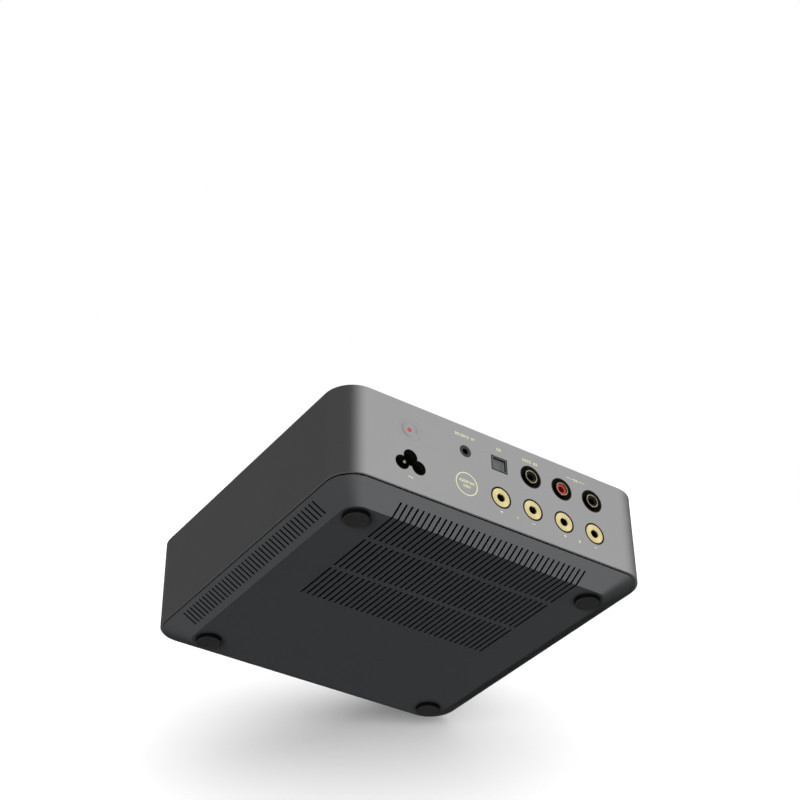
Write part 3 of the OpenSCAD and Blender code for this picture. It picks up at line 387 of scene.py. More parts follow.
def blend(tree, factor, first, second):
    """Mixes two colours."""
    node = put(tree, "ShaderNodeMix", data_type="RGBA")
    for key, value in ((0, factor), (6, first), (7, second)):
        if isinstance(value, bpy.types.NodeSocket):
            tree.links.new(value, node.inputs[key])
        else:
            node.inputs[key].default_value = value
    return node.outputs[2]


def between(tree, pattern, dark, light):
    """Colour that a pattern carries from one tone to another."""
    return blend(tree, spread(tree, pattern, 0, 1), tone(dark), tone(light))


def levelness(tree):
    """1 on a level face, 0 on an upright one."""
    normal = put(tree, "ShaderNodeNewGeometry").outputs["True Normal"]
    return calc(tree, "ABSOLUTE", put(tree, "ShaderNodeSeparateXYZ", {0: normal}).outputs["Z"])


def relief(tree, height, depth, strength):
    """Bump of a given depth in millimetres."""
    return put(tree, "ShaderNodeBump", {"Height": height, "Distance": depth * MM,
                                        "Strength": strength}).outputs["Normal"]


def calc(tree, operation, first, second=0.0):
    """One step of arithmetic."""
    return put(tree, "ShaderNodeMath", {0: first, 1: second}, operation=operation).outputs[0]


def radius(tree):
    """Distance from the piece's own axis in millimetres."""
    spot = put(tree, "ShaderNodeAttribute", attribute_name="from_axis").outputs["Vector"]
    split = put(tree, "ShaderNodeSeparateXYZ", {0: spot})
    squares = calc(tree, "ADD", calc(tree, "POWER", split.outputs["X"], 2.0),
                   calc(tree, "POWER", split.outputs["Z"], 2.0))
    return calc(tree, "SQRT", squares), spot


def shelter(tree, reach, start, end):
    """0 where the surface lies in a hole or beside a wall, 1 in the open. The reach is in mm. Colours use it
    to paint shade into hollows, and in the wells to paint light.
    """
    sky = put(tree, "ShaderNodeAmbientOcclusion", {"Distance": reach * MM}, samples=8).outputs["AO"]
    return spread(tree, sky, 0, 1, start, end)


def finish(name, **sockets):
    """A material with one principled shader. Returns it, its tree and a function that sets sockets."""
    material = bpy.data.materials.new(name)
    material.use_nodes = True
    tree = material.node_tree
    tree.nodes.clear()
    shader = put(tree, "ShaderNodeBsdfPrincipled")
    put(tree, "ShaderNodeOutputMaterial", {"Surface": shader.outputs[0]})

    def give(**values):
        for key, value in values.items():
            socket = shader.inputs[key.replace("_", " ").title().replace("Ior", "IOR")]
            if isinstance(value, bpy.types.NodeSocket):
                tree.links.new(value, socket)
            else:
                socket.default_value = value

    give(**sockets)
    return material, tree, give


# Materials

def looks():
    """The settings that the panel shows."""
    return bpy.context.scene.amplifier_looks


def satin_aluminium():
    """Bead-blasted, grey anodised aluminium: an even metallic tone that turns dark where it tips away from
    the light, with a very fine blasted relief."""
    s = looks()
    material, tree, give = finish("satin_anodised_aluminium", metallic=1.0, specular_ior_level=0.1)
    drift = noise(tree, 45, 2)
    blast = noise(tree, 0.5, 3)
    give(base_color=between(tree, drift, s.housing_dark, s.housing_light),
         roughness=spread(tree, blast, 0.2, 0.25), normal=relief(tree, blast, 0.004, 0.4))
    return material


def moulded_plastic():
    """Injection-moulded ABS: dark grey, with a spark-eroded grain that breaks up its sheen. The upright
    walls of its slots and the foot of its seam are painted black, and the tray is painted darker beside
    walls and feet and in holes; both are painted shade."""
    s = looks()
    material, tree, give = finish("moulded_dark_plastic", specular_ior_level=0.5)
    grain = noise(tree, 0.35, 4, 0.7)
    flow = noise(tree, 30, 2)
    face = between(tree, flow, s.tray_dark, s.tray_light)
    # Painted shade: darker beside walls and in holes, and black on every upright face
    sheltered = blend(tree, shelter(tree, 3.5, 0.62, 0.97), tone("#080809"), face)
    open_face = calc(tree, "GREATER_THAN", levelness(tree), 0.15)
    give(base_color=blend(tree, open_face, tone("#0A0A0A"), sheltered),
         roughness=spread(tree, grain, 0.28, 0.36), normal=relief(tree, grain, 0.004, 0.4))
    return material


def yellow_film():
    """Yellow polyester tape around windings, with the edges of its turns."""
    material, tree, give = finish("yellow_winding_tape", specular_ior_level=0.5)
    where = own_place(tree)
    turns = put(tree, "ShaderNodeTexWave", {"Vector": where, "Scale": 1 / (1.2 * MM), "Distortion": 0.4},
                bands_direction="Z").outputs["Fac"]
    give(base_color=blend(tree, turns, tone("#B99420"), tone("#D3AC34")),
         roughness=spread(tree, turns, 0.25, 0.4, 0, 1), normal=relief(tree, turns, 0.03, 0.6))
    return material


def foot_rubber():
    """Moulded rubber with a dull dark grey face; its upright flanks are painted near black, which is painted
    shade.
    """
    material, tree, give = finish("moulded_foot_rubber", specular_ior_level=0.14)
    speck = noise(tree, 0.4, 4, 0.7)
    bloom = noise(tree, 4, 3)
    face_tone = between(tree, bloom, "#3C3B3A", "#403F3E")
    face = spread(tree, levelness(tree), 0, 1, 0.45, 0.95)
    # Painted shade: the upright flanks go near black, the level face keeps its own tone
    give(base_color=blend(tree, face, tone("#0B0B0B"), face_tone),
         roughness=spread(tree, speck, 0.7, 0.9), normal=relief(tree, speck, 0.015, 0.6))
    return material


def gold_plate(name, dark, light):
    """Gold plating on turned brass: pale gold with the lathe's fine rings, painted black down in the plug
    hole as painted shade. Its sheen runs across the rings, along the tangent that points away from the axis."""
    material, tree, give = finish(name, metallic=1.0, specular_ior_level=0.5)
    away, spot = radius(tree)
    outwards = put(tree, "ShaderNodeVectorMath", {0: spot, 1: (1, 0, 1)}, operation="MULTIPLY").outputs[0]
    outwards = put(tree, "ShaderNodeVectorMath", {0: outwards, 1: (0.001, 0.001, 0)}).outputs[0]
    rings = noise(tree, 0.12 / MM, 2, 0.6, put(tree, "ShaderNodeCombineXYZ", {"X": away}).outputs[0])
    stain = noise(tree, 3 / MM, 2, 0.5, spot)
    plate = between(tree, stain, dark, light)
    # Painted shade: near black where the surface lies in the plug hole
    give(base_color=blend(tree, shelter(tree, 4, 0.62, 0.92), tone("#060503"), plate), anisotropic=0.85,
         tangent=outwards, roughness=spread(tree, rings, 0.34, 0.44), normal=relief(tree, rings, 0.004, 0.5))
    return material


def drawn_brass(name, dark, light):
    """Drawn brass, bare or nickel-plated: length-wise drawing lines and slight tarnish."""
    material, tree, give = finish(name, metallic=1.0)
    tarnish = noise(tree, 1.5, 3)
    give(base_color=between(tree, tarnish, dark, light),
         roughness=spread(tree, noise(tree, 0.2, 3), 0.25, 0.42))
    return material


def black_extrusion():
    """Black anodised extrusion: satin, with faint die lines along its length."""
    material, tree, give = finish("black_anodised_extrusion", metallic=0.6, specular_ior_level=0.4)
    where = own_place(tree)
    lines = noise(tree, 0.2, 2, 0.5, put(tree, "ShaderNodeVectorMath", {0: where, 1: (1, 0.02, 1)},
                                         operation="MULTIPLY").outputs[0])
    give(base_color=between(tree, lines, "#1E1E1F", "#2A2A2B"),
         roughness=spread(tree, lines, 0.35, 0.5), normal=relief(tree, lines, 0.006, 0.5))
    return material


def printed_board():
    """Circuit board under green mask: paler tracks and pads show through the lacquer."""
    material, tree, give = finish("green_masked_board", specular_ior_level=0.5)
    where = own_place(tree)
    tracks = put(tree, "ShaderNodeTexBrick", {"Vector": where, "Scale": 1 / (9 * MM), "Mortar Size": 0.06,
                                              "Color1": (0, 0, 0, 1), "Color2": (0, 0, 0, 1),
                                              "Mortar": (1, 1, 1, 1)}).outputs["Fac"]
    pads = put(tree, "ShaderNodeTexVoronoi", {"Vector": where, "Scale": 1 / (2.4 * MM)}).outputs["Distance"]
    dots = spread(tree, pads, 1, 0, 0.16, 0.2)
    green = blend(tree, tracks, tone("#1F4A2C"), tone("#2F6B41"))
    give(base_color=blend(tree, dots, green, tone("#A9A596")),
         roughness=spread(tree, tracks, 0.3, 0.42, 0, 1), normal=relief(tree, tracks, 0.03, 0.5))
    return material


def enamelled_copper():
    """Enamelled copper wire, side by side turns under a brown varnish."""
    material, tree, give = finish("enamelled_copper_wire", metallic=0.9, coat_weight=0.5, coat_roughness=0.2)
    where = own_place(tree)
    turns = put(tree, "ShaderNodeTexWave", {"Vector": where, "Scale": 1 / (1.5 * MM), "Distortion": 0.6},
                bands_direction="X").outputs["Fac"]
    give(base_color=blend(tree, turns, tone("#7C4322"), tone("#B2703F")),
         roughness=spread(tree, turns, 0.3, 0.45, 0, 1), normal=relief(tree, turns, 0.2, 0.7))
    return material


def button_aluminium():
    """The housing's satin metal on the button, with the light guide's red glow painted into its colour around
    the guide, which is painted light.
    """
    s = looks()
    material, tree, give = finish("satin_anodised_button", metallic=1.0, specular_ior_level=0.1)
    away, spot = radius(tree)
    blast = noise(tree, 0.5 / MM, 3, 0.5, spot)
    # Painted light: the guide's pink glow on the metal, fading with distance from the axis
    glow = spread(tree, away, 0.4, 0, 1.0, 2.4, "SMOOTHSTEP")
    grey = between(tree, noise(tree, 45, 2), s.housing_dark, s.housing_light)
    give(base_color=blend(tree, glow, grey, tone("#C88486")), roughness=spread(tree, blast, 0.2, 0.25),
         normal=relief(tree, blast, 0.004, 0.4))
    return material


def lit_guide():
    """Light guide with the diode on: red, brightest in the middle."""
    material, tree, give = finish("lit_red_guide", specular_ior_level=0.3, emission_strength=0.45)
    away, spot = radius(tree)
    core = spread(tree, away, 1, 0, 0.2, 1.0)
    haze = noise(tree, 0.4 / MM, 2, 0.5, spot)
    red = blend(tree, core, tone("#A83A40"), tone("#E0484E"))
    give(base_color=blend(tree, core, tone("#8A3A3E"), tone("#B03A40")), emission_color=red,
         roughness=spread(tree, haze, 0.25, 0.4))
    return material


def mottled(name, mottle, dark, light, rough, deep=None, grain=None, **sockets):
    """A finish with one cloudy pattern. mottle: its size in mm, detail and roughness. dark, light: the
    tones it runs between. rough: its range of roughness. deep: reach in mm, start, end and the tone
    painted into sheltered places, which is painted shade, and in the wells painted light. grain: size in
    mm, depth in mm and strength of a relief, where size 0 takes the pattern itself."""
    material, tree, give = finish(name, **sockets)
    cloud = noise(tree, *mottle)
    face = between(tree, cloud, dark, light)
    if deep:
        reach, start, end, shade = deep
        # Painted by depth: a darker tone as painted shade, in the wells a paler one as painted light
        face = blend(tree, shelter(tree, reach, start, end), tone(shade), face)
    give(base_color=face, roughness=spread(tree, cloud, *rough))
    if grain:
        size, depth, strength = grain
        give(normal=relief(tree, noise(tree, size, 2) if size else cloud, depth, strength))
    return material


MOTTLED_FINISHES = {
    # Moulded connector plastic: near black, slightly glossy, with a faint cloudiness, and painted shade,
    # nearer black, in its holes
    "black_plastic": dict(name="black_connector_plastic", mottle=(2.2, 3), dark="#131310", light="#171714",
                          rough=(0.38, 0.5), deep=(3, 0.3, 0.9, "#080806"), grain=(0.3, 0.004, 0.4),
                          specular_ior_level=0.12),
    # The same plastic in wells and in the inlet: black at the rim, and painted paler where it is deep, as
    # painted light that makes up for the little stray light there
    "well_plastic": dict(name="black_well_plastic", mottle=(2.2, 3), dark="#191813", light="#1D1C16",
                         rough=(0.45, 0.6), deep=(5, 0.3, 0.9, "#3E3C31"), grain=(0.3, 0.004, 0.4),
                         specular_ior_level=0.15),
    # Glass-filled port plastic: matt, with a fine grain, and painted black inside its opening as painted
    # shade
    "grey_plastic": dict(name="grey_receiver_plastic", mottle=(0.25, 3), dark="#626566", light="#686B6C",
                         rough=(0.45, 0.6), deep=(7, 0.4, 0.8, "#060606"), grain=(0, 0.006, 0.5),
                         specular_ior_level=0.25),
    # The port's frame and shutter: the same plastic without the painted shade
    "port_plastic": dict(name="grey_port_plastic", mottle=(0.25, 3), dark="#5F6362", light="#666A69",
                         rough=(0.45, 0.6), grain=(0, 0.006, 0.5), specular_ior_level=0.2),
    # Moulded nose of the jack: charcoal, matt
    "jack_plastic": dict(name="charcoal_jack_plastic", mottle=(0.25, 3), dark="#373839", light="#3D3E3E",
                         rough=(0.45, 0.6), grain=(0, 0.006, 0.5), specular_ior_level=0.2),
    # Natural nylon of headers and plungers: ivory, a little waxy
    "pale_plastic": dict(name="ivory_nylon", mottle=(1.5, 3), dark="#D6D2C4", light="#E2DED2",
                         rough=(0.35, 0.5), specular_ior_level=0.4, subsurface_weight=0.1,
                         subsurface_scale=0.001),
    # Diffusing acrylic: tinted red, with a soft inner haze
    "clear_plastic": dict(name="tinted_acrylic", mottle=(0.4, 2), dark="#D84848", light="#E66A66",
                          rough=(0.15, 0.35), transmission_weight=0.35, specular_ior_level=0.5),
    # Zinc-plated steel: cool grey with a faint spangle
    "steel": dict(name="zinc_plated_steel", mottle=(0.8, 3), dark="#8E9194", light="#A9ACAF",
                  rough=(0.3, 0.45), metallic=1.0),
    # Tinned steel sheet: bright, with rolling streaks and small dents
    "tinned_steel": dict(name="tinned_steel_sheet", mottle=(0.5, 4), dark="#BFC1C3", light="#D2D4D5",
                         rough=(0.22, 0.36), grain=(6, 0.02, 0.3), metallic=1.0),
    # Shrunk sleeve of a can capacitor: dark and glossy, with slight wrinkles
    "can_sleeve": dict(name="shrunk_can_sleeve", mottle=(5, 3), dark="#1D2026", light="#2A2E36",
                       rough=(0.22, 0.35), grain=(0, 0.05, 0.4), specular_ior_level=0.5),
    # Sintered ferrite: dull charcoal with a granular face
    "ferrite": dict(name="sintered_ferrite", mottle=(0.3, 4, 0.7), dark="#232224", light="#323134",
                    rough=(0.55, 0.75), grain=(0, 0.02, 0.6), specular_ior_level=0.35),
    # Glass tube of the fuse: clear, with a slight green edge
    "glass": dict(name="fuse_glass", mottle=(2, 2), dark="#D4E2DE", light="#E6EFEC", rough=(0.03, 0.12),
                  transmission_weight=0.85, ior=1.5),
}
OTHER_FINISHES = {
    "grey_metal": satin_aluminium,
    "tray_plastic": moulded_plastic,
    "foot_rubber": foot_rubber,
    "yellow_plastic": yellow_film,
    "black_aluminium": black_extrusion,
    "board": printed_board,
    "copper": enamelled_copper,
    "brass": lambda: drawn_brass("drawn_brass", "#B8974E", "#CDB06A"),
    # Pins of the inlet: brass under nickel, so paler and cooler
    "pin_nickel": lambda: drawn_brass("nickel_plated_pin", "#EFEECB", "#F9F8DA"),
    "gold": lambda: gold_plate("gold_plated_turned_brass", looks().gold_dark, looks().gold_light),
    # Sleeves of the input sockets: the same plating in darker tones
    "sleeve_gold": lambda: gold_plate("darker_gold_sleeve", "#BAAE8B", "#C2B693"),
    # Signal-red insert plastic: slightly glossy, with painted shade where it is deep
    "red_plastic": lambda: mottled("red_insert_plastic", (1.2, 3), looks().insert_dark, looks().insert_light,
                                   (0.35, 0.5), (3, 0.4, 0.95, "#1A0202"), (0, 0.004, 0.3),
                                   specular_ior_level=0.3),
    # Cream screen print on the rear panel: matt, uneven where the ink is thin
    "ink": lambda: mottled("cream_panel_ink", (0.3, 3), looks().ink_dark, looks().ink_light, (0.5, 0.65),
                           specular_ior_level=0.15),
}
made = {}


def slot_material(slot):
    """The material of a record slot or of a finish of the fine pieces, made once."""
    if slot not in made:
        made[slot] = OTHER_FINISHES[slot]() if slot in OTHER_FINISHES else mottled(**MOTTLED_FINISHES[slot])
    return made[slot]


# Settings

def length(name, default, description):
    """A length in metres, shown with units."""
    return FloatProperty(name=name, description=description, default=default, min=0.0, subtype="DISTANCE",
                         unit="LENGTH", precision=5)


def colour(name, code, description):
    """A colour, shown as a swatch."""
    return FloatVectorProperty(name=name, description=description, default=tone(code), size=4, min=0.0,
                               max=1.0, subtype="COLOR")


class AmplifierSettings(bpy.types.PropertyGroup):
    """Colours and sizes of the fine pieces, and levels of the lamps."""
    housing_dark: colour("Housing", "#A1A1A1", "Tone of the housing's anodised metal")
    housing_light: colour("Housing, paler", "#A4A4A4", "Paler tone that drifts across the housing")
    tray_dark: colour("Tray", "#474A4C", "Tone of the moulded tray")
    tray_light: colour("Tray, paler", "#494C4E", "Paler tone that drifts across the tray")
    gold_dark: colour("Gold", "#F6E4A6", "Tone of the gold plating")
    gold_light: colour("Gold, paler", "#FBECB6", "Paler tone of the gold plating")
    insert_dark: colour("Red insert", "#B83C3A", "Tone of the red insert")
    insert_light: colour("Red insert, paler", "#C04442", "Paler tone of the red insert")
    ink_dark: colour("Ink", "#E6E6BC", "Tone of the printed marks")
    ink_light: colour("Ink, paler", "#EFEFCB", "Paler tone of the printed marks")
    foot_edge: length("Foot edge", 0.0006, "Radius of the edge around a foot's face")
    foot_dish: length("Foot dish", 0.0001, "Depth by which a foot's face is hollow")
    disc_edge: length("Disc edge", 0.0004, "Radius of the edge of a speaker disc")
    hole_sink: length("Hole bevel", 0.0003, "Bevel at the mouth of a plug hole")
    sleeve_edge: length("Sleeve edge", 0.00032, "Radius of the end of an input sleeve")
    insert_edge: length("Insert edge", 0.0006, "Radius of the mouth of an input insert")
    dish_depth: length("Button dish", 0.0005, "Depth of the button's hollow face")
    dish_rim: length("Button rim", 0.0007, "Width of the flat rim around the button's hollow")
    guide_width: length("Light guide", 0.002, "Diameter of the button's light guide")
    ink_height: length("Ink height", 0.00002, "Height of the printed marks")
    mark_height: length("Mark height", 0.0016, "Height of the printed numbers")
    mark_line: length("Mark line", 0.00034, "Line width of the printed numbers")
    ring_width: length("Ring width", 0.0127, "Outer diameter of the printed ring")
    ring_line: length("Ring line", 0.00058, "Line width of the printed ring")
    sign_line: length("Sign line", 0.00036, "Line width of the plus and minus signs")
    sides: IntProperty(name="Sides", description="Segments around a turned piece", default=96, min=24)
    key_level: FloatProperty(name="Key level", description="Level of the lamp on the rear panel", default=1.0)
    top_level: FloatProperty(name="Top level", description="Level of the lamp on the top and the front",
                             default=2.2)
    ambient: FloatProperty(name="Ambient", description="Level of light from all round", default=0.03)
    overhead_level: FloatProperty(name="Overhead level", description="Level of the lamp over the floor",
                                  default=1.8)
    overhead_angle: FloatProperty(name="Overhead softness", description="Angle that the overhead lamp fills",
                                  default=math.radians(125.5), subtype="ANGLE", unit="ROTATION")
    overhead_right: FloatProperty(name="Overhead right", description="Lean of the overhead lamp to the right",
                                  default=0.32)
    overhead_near: FloatProperty(name="Overhead near", description="Lean of the overhead lamp to the camera",
                                 default=0.645)
    window_start: FloatProperty(name="Window start", default=42,
                                description="Azimuth at which the white window begins, in degrees")
    window_end: FloatProperty(name="Window end", default=213,
                              description="Azimuth at which the white window ends, in degrees")
    flag_level: FloatProperty(name="Flag level", description="Level of the grey cards around the window",
                              default=0.158)
    card_level: FloatProperty(name="Low card", description="Level of the card low under the rear edge",
                              default=2.2)
    tray_level: FloatProperty(name="Tray level", description="Level of the lamp on the tray", default=1.05)
    floor_tilt: FloatProperty(name="Floor angle", description="Angle of the floor to the line of sight",
                              default=math.radians(18), subtype="ANGLE", unit="ROTATION")


class AMPLIFIER_OT_finishes(bpy.types.Operator):
    """Gives every carried-over node the material of its slot, and the input sockets that of wells"""
    bl_idname = "amplifier.finishes"
    bl_label = "Finishes"

    def execute(self, context):
        slots = {part["node"]: part["material_slot"] for part in frame["record"]["subparts"]}
        for name, node in frame["nodes"].items():
            node.data.materials.clear()
            slot = "well_plastic" if name.endswith("_input_body") else slots[name]
            node.data.materials.append(slot_material(slot))
        return {"FINISHED"}


class AMPLIFIER_OT_feet(bpy.types.Operator):
    """Builds the rubber feet: turned pads with a rounded edge and a slightly hollow face"""
    bl_idname = "amplifier.feet"
    bl_label = "Feet"

    def execute(self, context):
        s = context.scene.amplifier_looks
        edge, dish = s.foot_edge / MM, s.foot_dish / MM
        hollow, rim, soft = 0.72, 0.8, 0.6
        for name in ("foot_rear_left", "foot_rear_right", "foot_front_left", "foot_front_right"):
            low, high = box_of(name)
            middle, r, top = (low + high) / 2, (high[0] - low[0]) / 2, high[2] - low[2]
            profile = round_corners([(0, dish), (r * hollow, dish), (r * rim, 0), (r, 0), (r, top), (0, top)],
                                    [soft, soft, edge, 0])
            profile[:, 1] += low[2]
            build(name + "_pad", [stood(profile, middle[:2], s.sides)], slot_material("foot_rubber"),
                  replaces=(name,))
        return {"FINISHED"}


class AMPLIFIER_OT_speaker_sockets(bpy.types.Operator):
    """Builds the gold speaker sockets: disc with a rounded rim, bevelled plug hole and barrel"""
    bl_idname = "amplifier.speaker_sockets"
    bl_label = "Speaker sockets"

    def execute(self, context):
        s = context.scene.amplifier_looks
        hole, depth, barrel, disc = 2.05, 18.0, 3.7, 1.3
        sink = s.hole_sink / MM
        for number in range(1, 5):
            name = f"speaker_socket_{number}"
            centre, r, back, face = lathe_place(name)
            corners = [(0, back), (barrel, back), (barrel, face - disc), (r, face - disc), (r, face),
                       (hole + sink, face), (hole, face - sink), (hole, face - depth), (0, face - depth)]
            radii = [0.1, 0.1, 0.1, s.disc_edge / MM, 0.12, 0.12, 0.3]
            build(name + "_turned", [turned(round_corners(corners, radii), centre, s.sides)],
                  slot_material("gold"), replaces=(name,))
        return {"FINISHED"}


class AMPLIFIER_OT_input_sockets(bpy.types.Operator):
    """Builds the gold sleeves and coloured inserts of the input sockets"""
    bl_idname = "amplifier.input_sockets"
    bl_label = "Input sockets"

    def execute(self, context):
        s = context.scene.amplifier_looks
        for side in ("digital", "right", "left"):
            self.sleeve(f"{side}_input_sleeve", s)
            self.insert(f"{side}_input_insert", "red_plastic" if side == "right" else "black_plastic", s)
        return {"FINISHED"}

    def sleeve(self, name, s):
        """Plated tube whose tip is a little narrower, with a rounded end."""
        centre, r, foot, end = lathe_place(name)
        bore, tip, edge = 2.95, 3.62, s.sleeve_edge / MM
        shoulder, slope = 2.6, 0.2
        corners = [(r, foot), (r, end - shoulder), (tip, end - shoulder + slope), (tip, end), (bore, end),
                   (bore, foot)]
        ring = closed_profile(corners, [0.1, 0.1, 0.1, edge, edge, 0.1], 8, 0.01)
        build(name + "_turned", [turned(ring, centre, s.sides, closed=True)], slot_material("sleeve_gold"),
              replaces=(name,))

    def insert(self, name, slot, s):
        """Plastic cup around the centre contact, with a rounded mouth."""
        centre, r, foot, end = lathe_place(name)
        hole, contact, floor, mouth = 1.65, 0.63, 1.5, s.insert_edge / MM
        corners = [(contact, foot), (r, foot), (r, end), (hole, end), (hole, foot + floor),
                   (contact, foot + floor)]
        ring = closed_profile(corners, [0.05, 0.1, mouth / 2, mouth, 0.2, 0.05])
        build(name + "_turned", [turned(ring, centre, s.sides, closed=True)], slot_material(slot),
              replaces=(name,))


class AMPLIFIER_OT_button(bpy.types.Operator):
    """Builds the dished button face with its lit guide"""
    bl_idname = "amplifier.button"
    bl_label = "Button"

    def execute(self, context):
        s = context.scene.amplifier_looks
        face = lathe_place("button_cap")[3]
        centre, _, back, front = lathe_place("button_light_guide")
        hole = s.guide_width / MM / 2
        self.cap(centre, face, hole, s)
        self.guide(centre, face, hole, back, front)
        return {"FINISHED"}

    def cap(self, centre, face, hole, s):
        """Dished cap with its flange, and the stem below its middle. From the flat to the rim the dish
        rises as (1 - cos) / 2."""
        r, flange, fit, flat = 6.2, 7.1, 0.03, 2.6
        shoulder, slope, back = 3.1, 0.05, 4.35
        stem, stem_start, stem_end, stem_drop = 1.55, 4.3, 8.0, 4.4
        dish = r - s.dish_rim / MM
        out = np.linspace(hole + fit, dish, 32)
        rise = np.clip((out - flat) / (dish - flat), 0, 1)
        hollow = face - s.dish_depth / MM * (1 + np.cos(rise * math.pi)) / 2
        side = round_corners([(dish, face), (r, face), (r, face - shoulder),
                              (flange, face - shoulder - slope), (flange, face - back),
                              (hole + fit, face - back)], [0.05, 0.05, 0.1, 0.1])
        ring = np.concatenate([np.stack([out, hollow], 1), side[1:], [[hole + fit, face - 2]]])
        pin = round_corners([(0, face - stem_end), (stem, face - stem_end), (stem, face - stem_start),
                             (0, face - stem_start)], [0.1, 0.05])
        points, faces, _ = turned(pin, (centre[0], centre[1] - stem_drop), 32)
        build("button_cap_dished", [turned(ring, centre, s.sides, closed=True), (points, faces, centre)],
              button_aluminium(), body="button", replaces=("button_cap",))

    def guide(self, centre, face, hole, back, front):
        """Light guide with a collar behind the cap and a domed end."""
        collar, collar_back, collar_front = 1.6, 5.2, 4.4
        corners = [(0, back), (hole, back), (hole, face - collar_back), (collar, face - collar_back),
                   (collar, face - collar_front), (hole, face - collar_front), (hole, front), (0, front)]
        dome = round_corners(corners, [0.1, 0.1, 0.1, 0.1, 0.1, 0.25])
        build("button_light_guide_dome", [turned(dome, centre, 48)], lit_guide(), body="button",
              replaces=("button_light_guide",))


class AMPLIFIER_OT_jack(bpy.types.Operator):
    """Builds the rounded nose around the jack's bore"""
    bl_idname = "amplifier.jack"
    bl_label = "Jack"

    def execute(self, context):
        s = context.scene.amplifier_looks
        (x, _), _, _, face = lathe_place("trigger_jack")
        bore, outer, depth, proud = 1.62, 3.22, 0.6, 0.03
        ring = closed_profile([(outer, face - depth), (outer, face + proud), (bore, face + proud),
                               (bore, face - depth)], [0.05, 0.2, 0.35, 0.05])
        build("trigger_jack_nose", [turned(ring, (x, HIGH_ROW), s.sides, closed=True)],
              slot_material("jack_plastic"))
        return {"FINISHED"}


class AMPLIFIER_OT_mains_inlet(bpy.types.Operator):
    """Builds the black lining of the cloverleaf opening and the rounded contact pins"""
    bl_idname = "amplifier.mains_inlet"
    bl_label = "Mains inlet"

    def execute(self, context):
        self.lining()
        self.pins()
        return {"FINISHED"}

    def lining(self):
        """Thin wall down the opening, with a narrow lip on the inlet's face."""
        inner, outer, lip, depth, low_lip, high_lip = 0.1, 0.01, -0.2, 2.9, 0.01, 0.04
        section = closed_profile([(outer, -depth), (outer, low_lip), (lip, low_lip), (lip, high_lip),
                                  (inner, high_lip), (inner, -depth)],
                                 [0.01, 0.005, 0.005, 0.01, 0.03, 0.01], 3, 0.004)
        path = union_outline([*((x, z, LOBE_R) for x, z in INLET_PINS), INLET_HEART])
        build("mains_inlet_lining", [band(path, section, PANEL)], slot_material("well_plastic"))

    def pins(self):
        """Round contacts, each with an oval leg down to the board."""
        low, high = box_of("inlet_pins")
        r, leg_x, leg_y, t = 1.2, 0.6, 0.5, around(16)
        parts = []
        for x, z in INLET_PINS:
            pin = round_corners([(0, low[1]), (r, low[1]), (r, high[1]), (0, high[1])], [0.2, 0.5], 10)
            parts.append(turned(pin, (x, z), 48))
            leg = [np.column_stack([x + leg_x * np.cos(t), low[1] + leg_y + leg_y * np.sin(t),
                                    np.full(len(t), end)]) for end in (low[2], z)]
            parts.append((*capped(leg), (x, z)))
        build("inlet_pins_rounded", parts, slot_material("pin_nickel"),
              replaces=("inlet_pins",))


class AMPLIFIER_OT_optical_port(bpy.types.Operator):
    """Builds a black band around the optical port that stands for its shadow gap, which is painted shade,
    then the rounded frame and the shutter with its raised pad
    """
    bl_idname = "amplifier.optical_port"
    bl_label = "Optical port"

    def execute(self, context):
        # Painted shade: a black band where the port has only a shadow gap
        self.rim("optical_port_shade_band", "black_plastic", "black_plastic", 0.25, 0.23,
                 [(-0.39, -0.4), (-0.39, 0.02), (0.21, 0.02), (0.21, -0.4)], [0.01, 0.02, 0.02, 0.01])
        self.rim("optical_port_frame", "port_plastic", "grey_plastic", 0.84, 0.05,
                 [(0, -0.3), (0, -0.05), (-0.06, 0.01), (-0.37, 0.01), (-0.37, -0.3)],
                 [0.01, 0.01, 0.01, 0.02, 0.01])
        self.shutter()
        return {"FINISHED"}

    def rim(self, name, material, slot, inset, r, corners, radii):
        """Band around the port. Its path lies inset within the port's outline and has corners of radius r."""
        path = box_path(PORT_X, HIGH_ROW, PORT_W / 2 - inset, PORT_H / 2 - inset, r)
        build(name, [band(path, closed_profile(corners, radii, 3, 0.01), PANEL)], slot_material(material))

    def shutter(self):
        """Thin plate that hangs from a round barrel, with a raised pad in two parts. A level of the plate
        or the pads is an inset and a height."""
        (left, back, low), (right, front, _) = box_of("optical_shutter")
        pin_y, pin_z, barrel, soft, t = 88.3, 46.8, 0.55, 0.05, around(32)
        pad, pad_gap, pad_left, edge, r = 89.1, 0.15, 1.55, 0.08, 0.2
        middle_z = (low + pin_z) / 2
        plate = pillow(PORT_X, middle_z, (right - left) / 2, (pin_z - low) / 2, r,
                       [(edge, back), (0, back + edge), (0, front - edge), (edge, front)])
        pad_top = pin_z - 0.1
        pads = [pillow((a + b) / 2, (low + pad_top) / 2, (b - a) / 2, (pad_top - low) / 2, r,
                       [(0.02, front - 0.05), (0, front), (0, pad - 0.1), (edge, pad)])
                for a, b in ((left + pad_left + pad_gap, right), (left, left + pad_left))]
        ends = [(left, barrel - soft), (left + soft, barrel), (right - soft, barrel), (right, barrel - soft)]
        rod = capped([np.column_stack([np.full(len(t), x), pin_y + r_end * np.cos(t),
                                       pin_z + r_end * np.sin(t)]) for x, r_end in ends])
        parts = [*((*part[:2], (PORT_X, middle_z)) for part in (plate, *pads)), (*rod, (PORT_X, pin_z))]
        build("optical_shutter_flap", parts, slot_material("port_plastic"), body="shutter",
              replaces=("optical_shutter",))


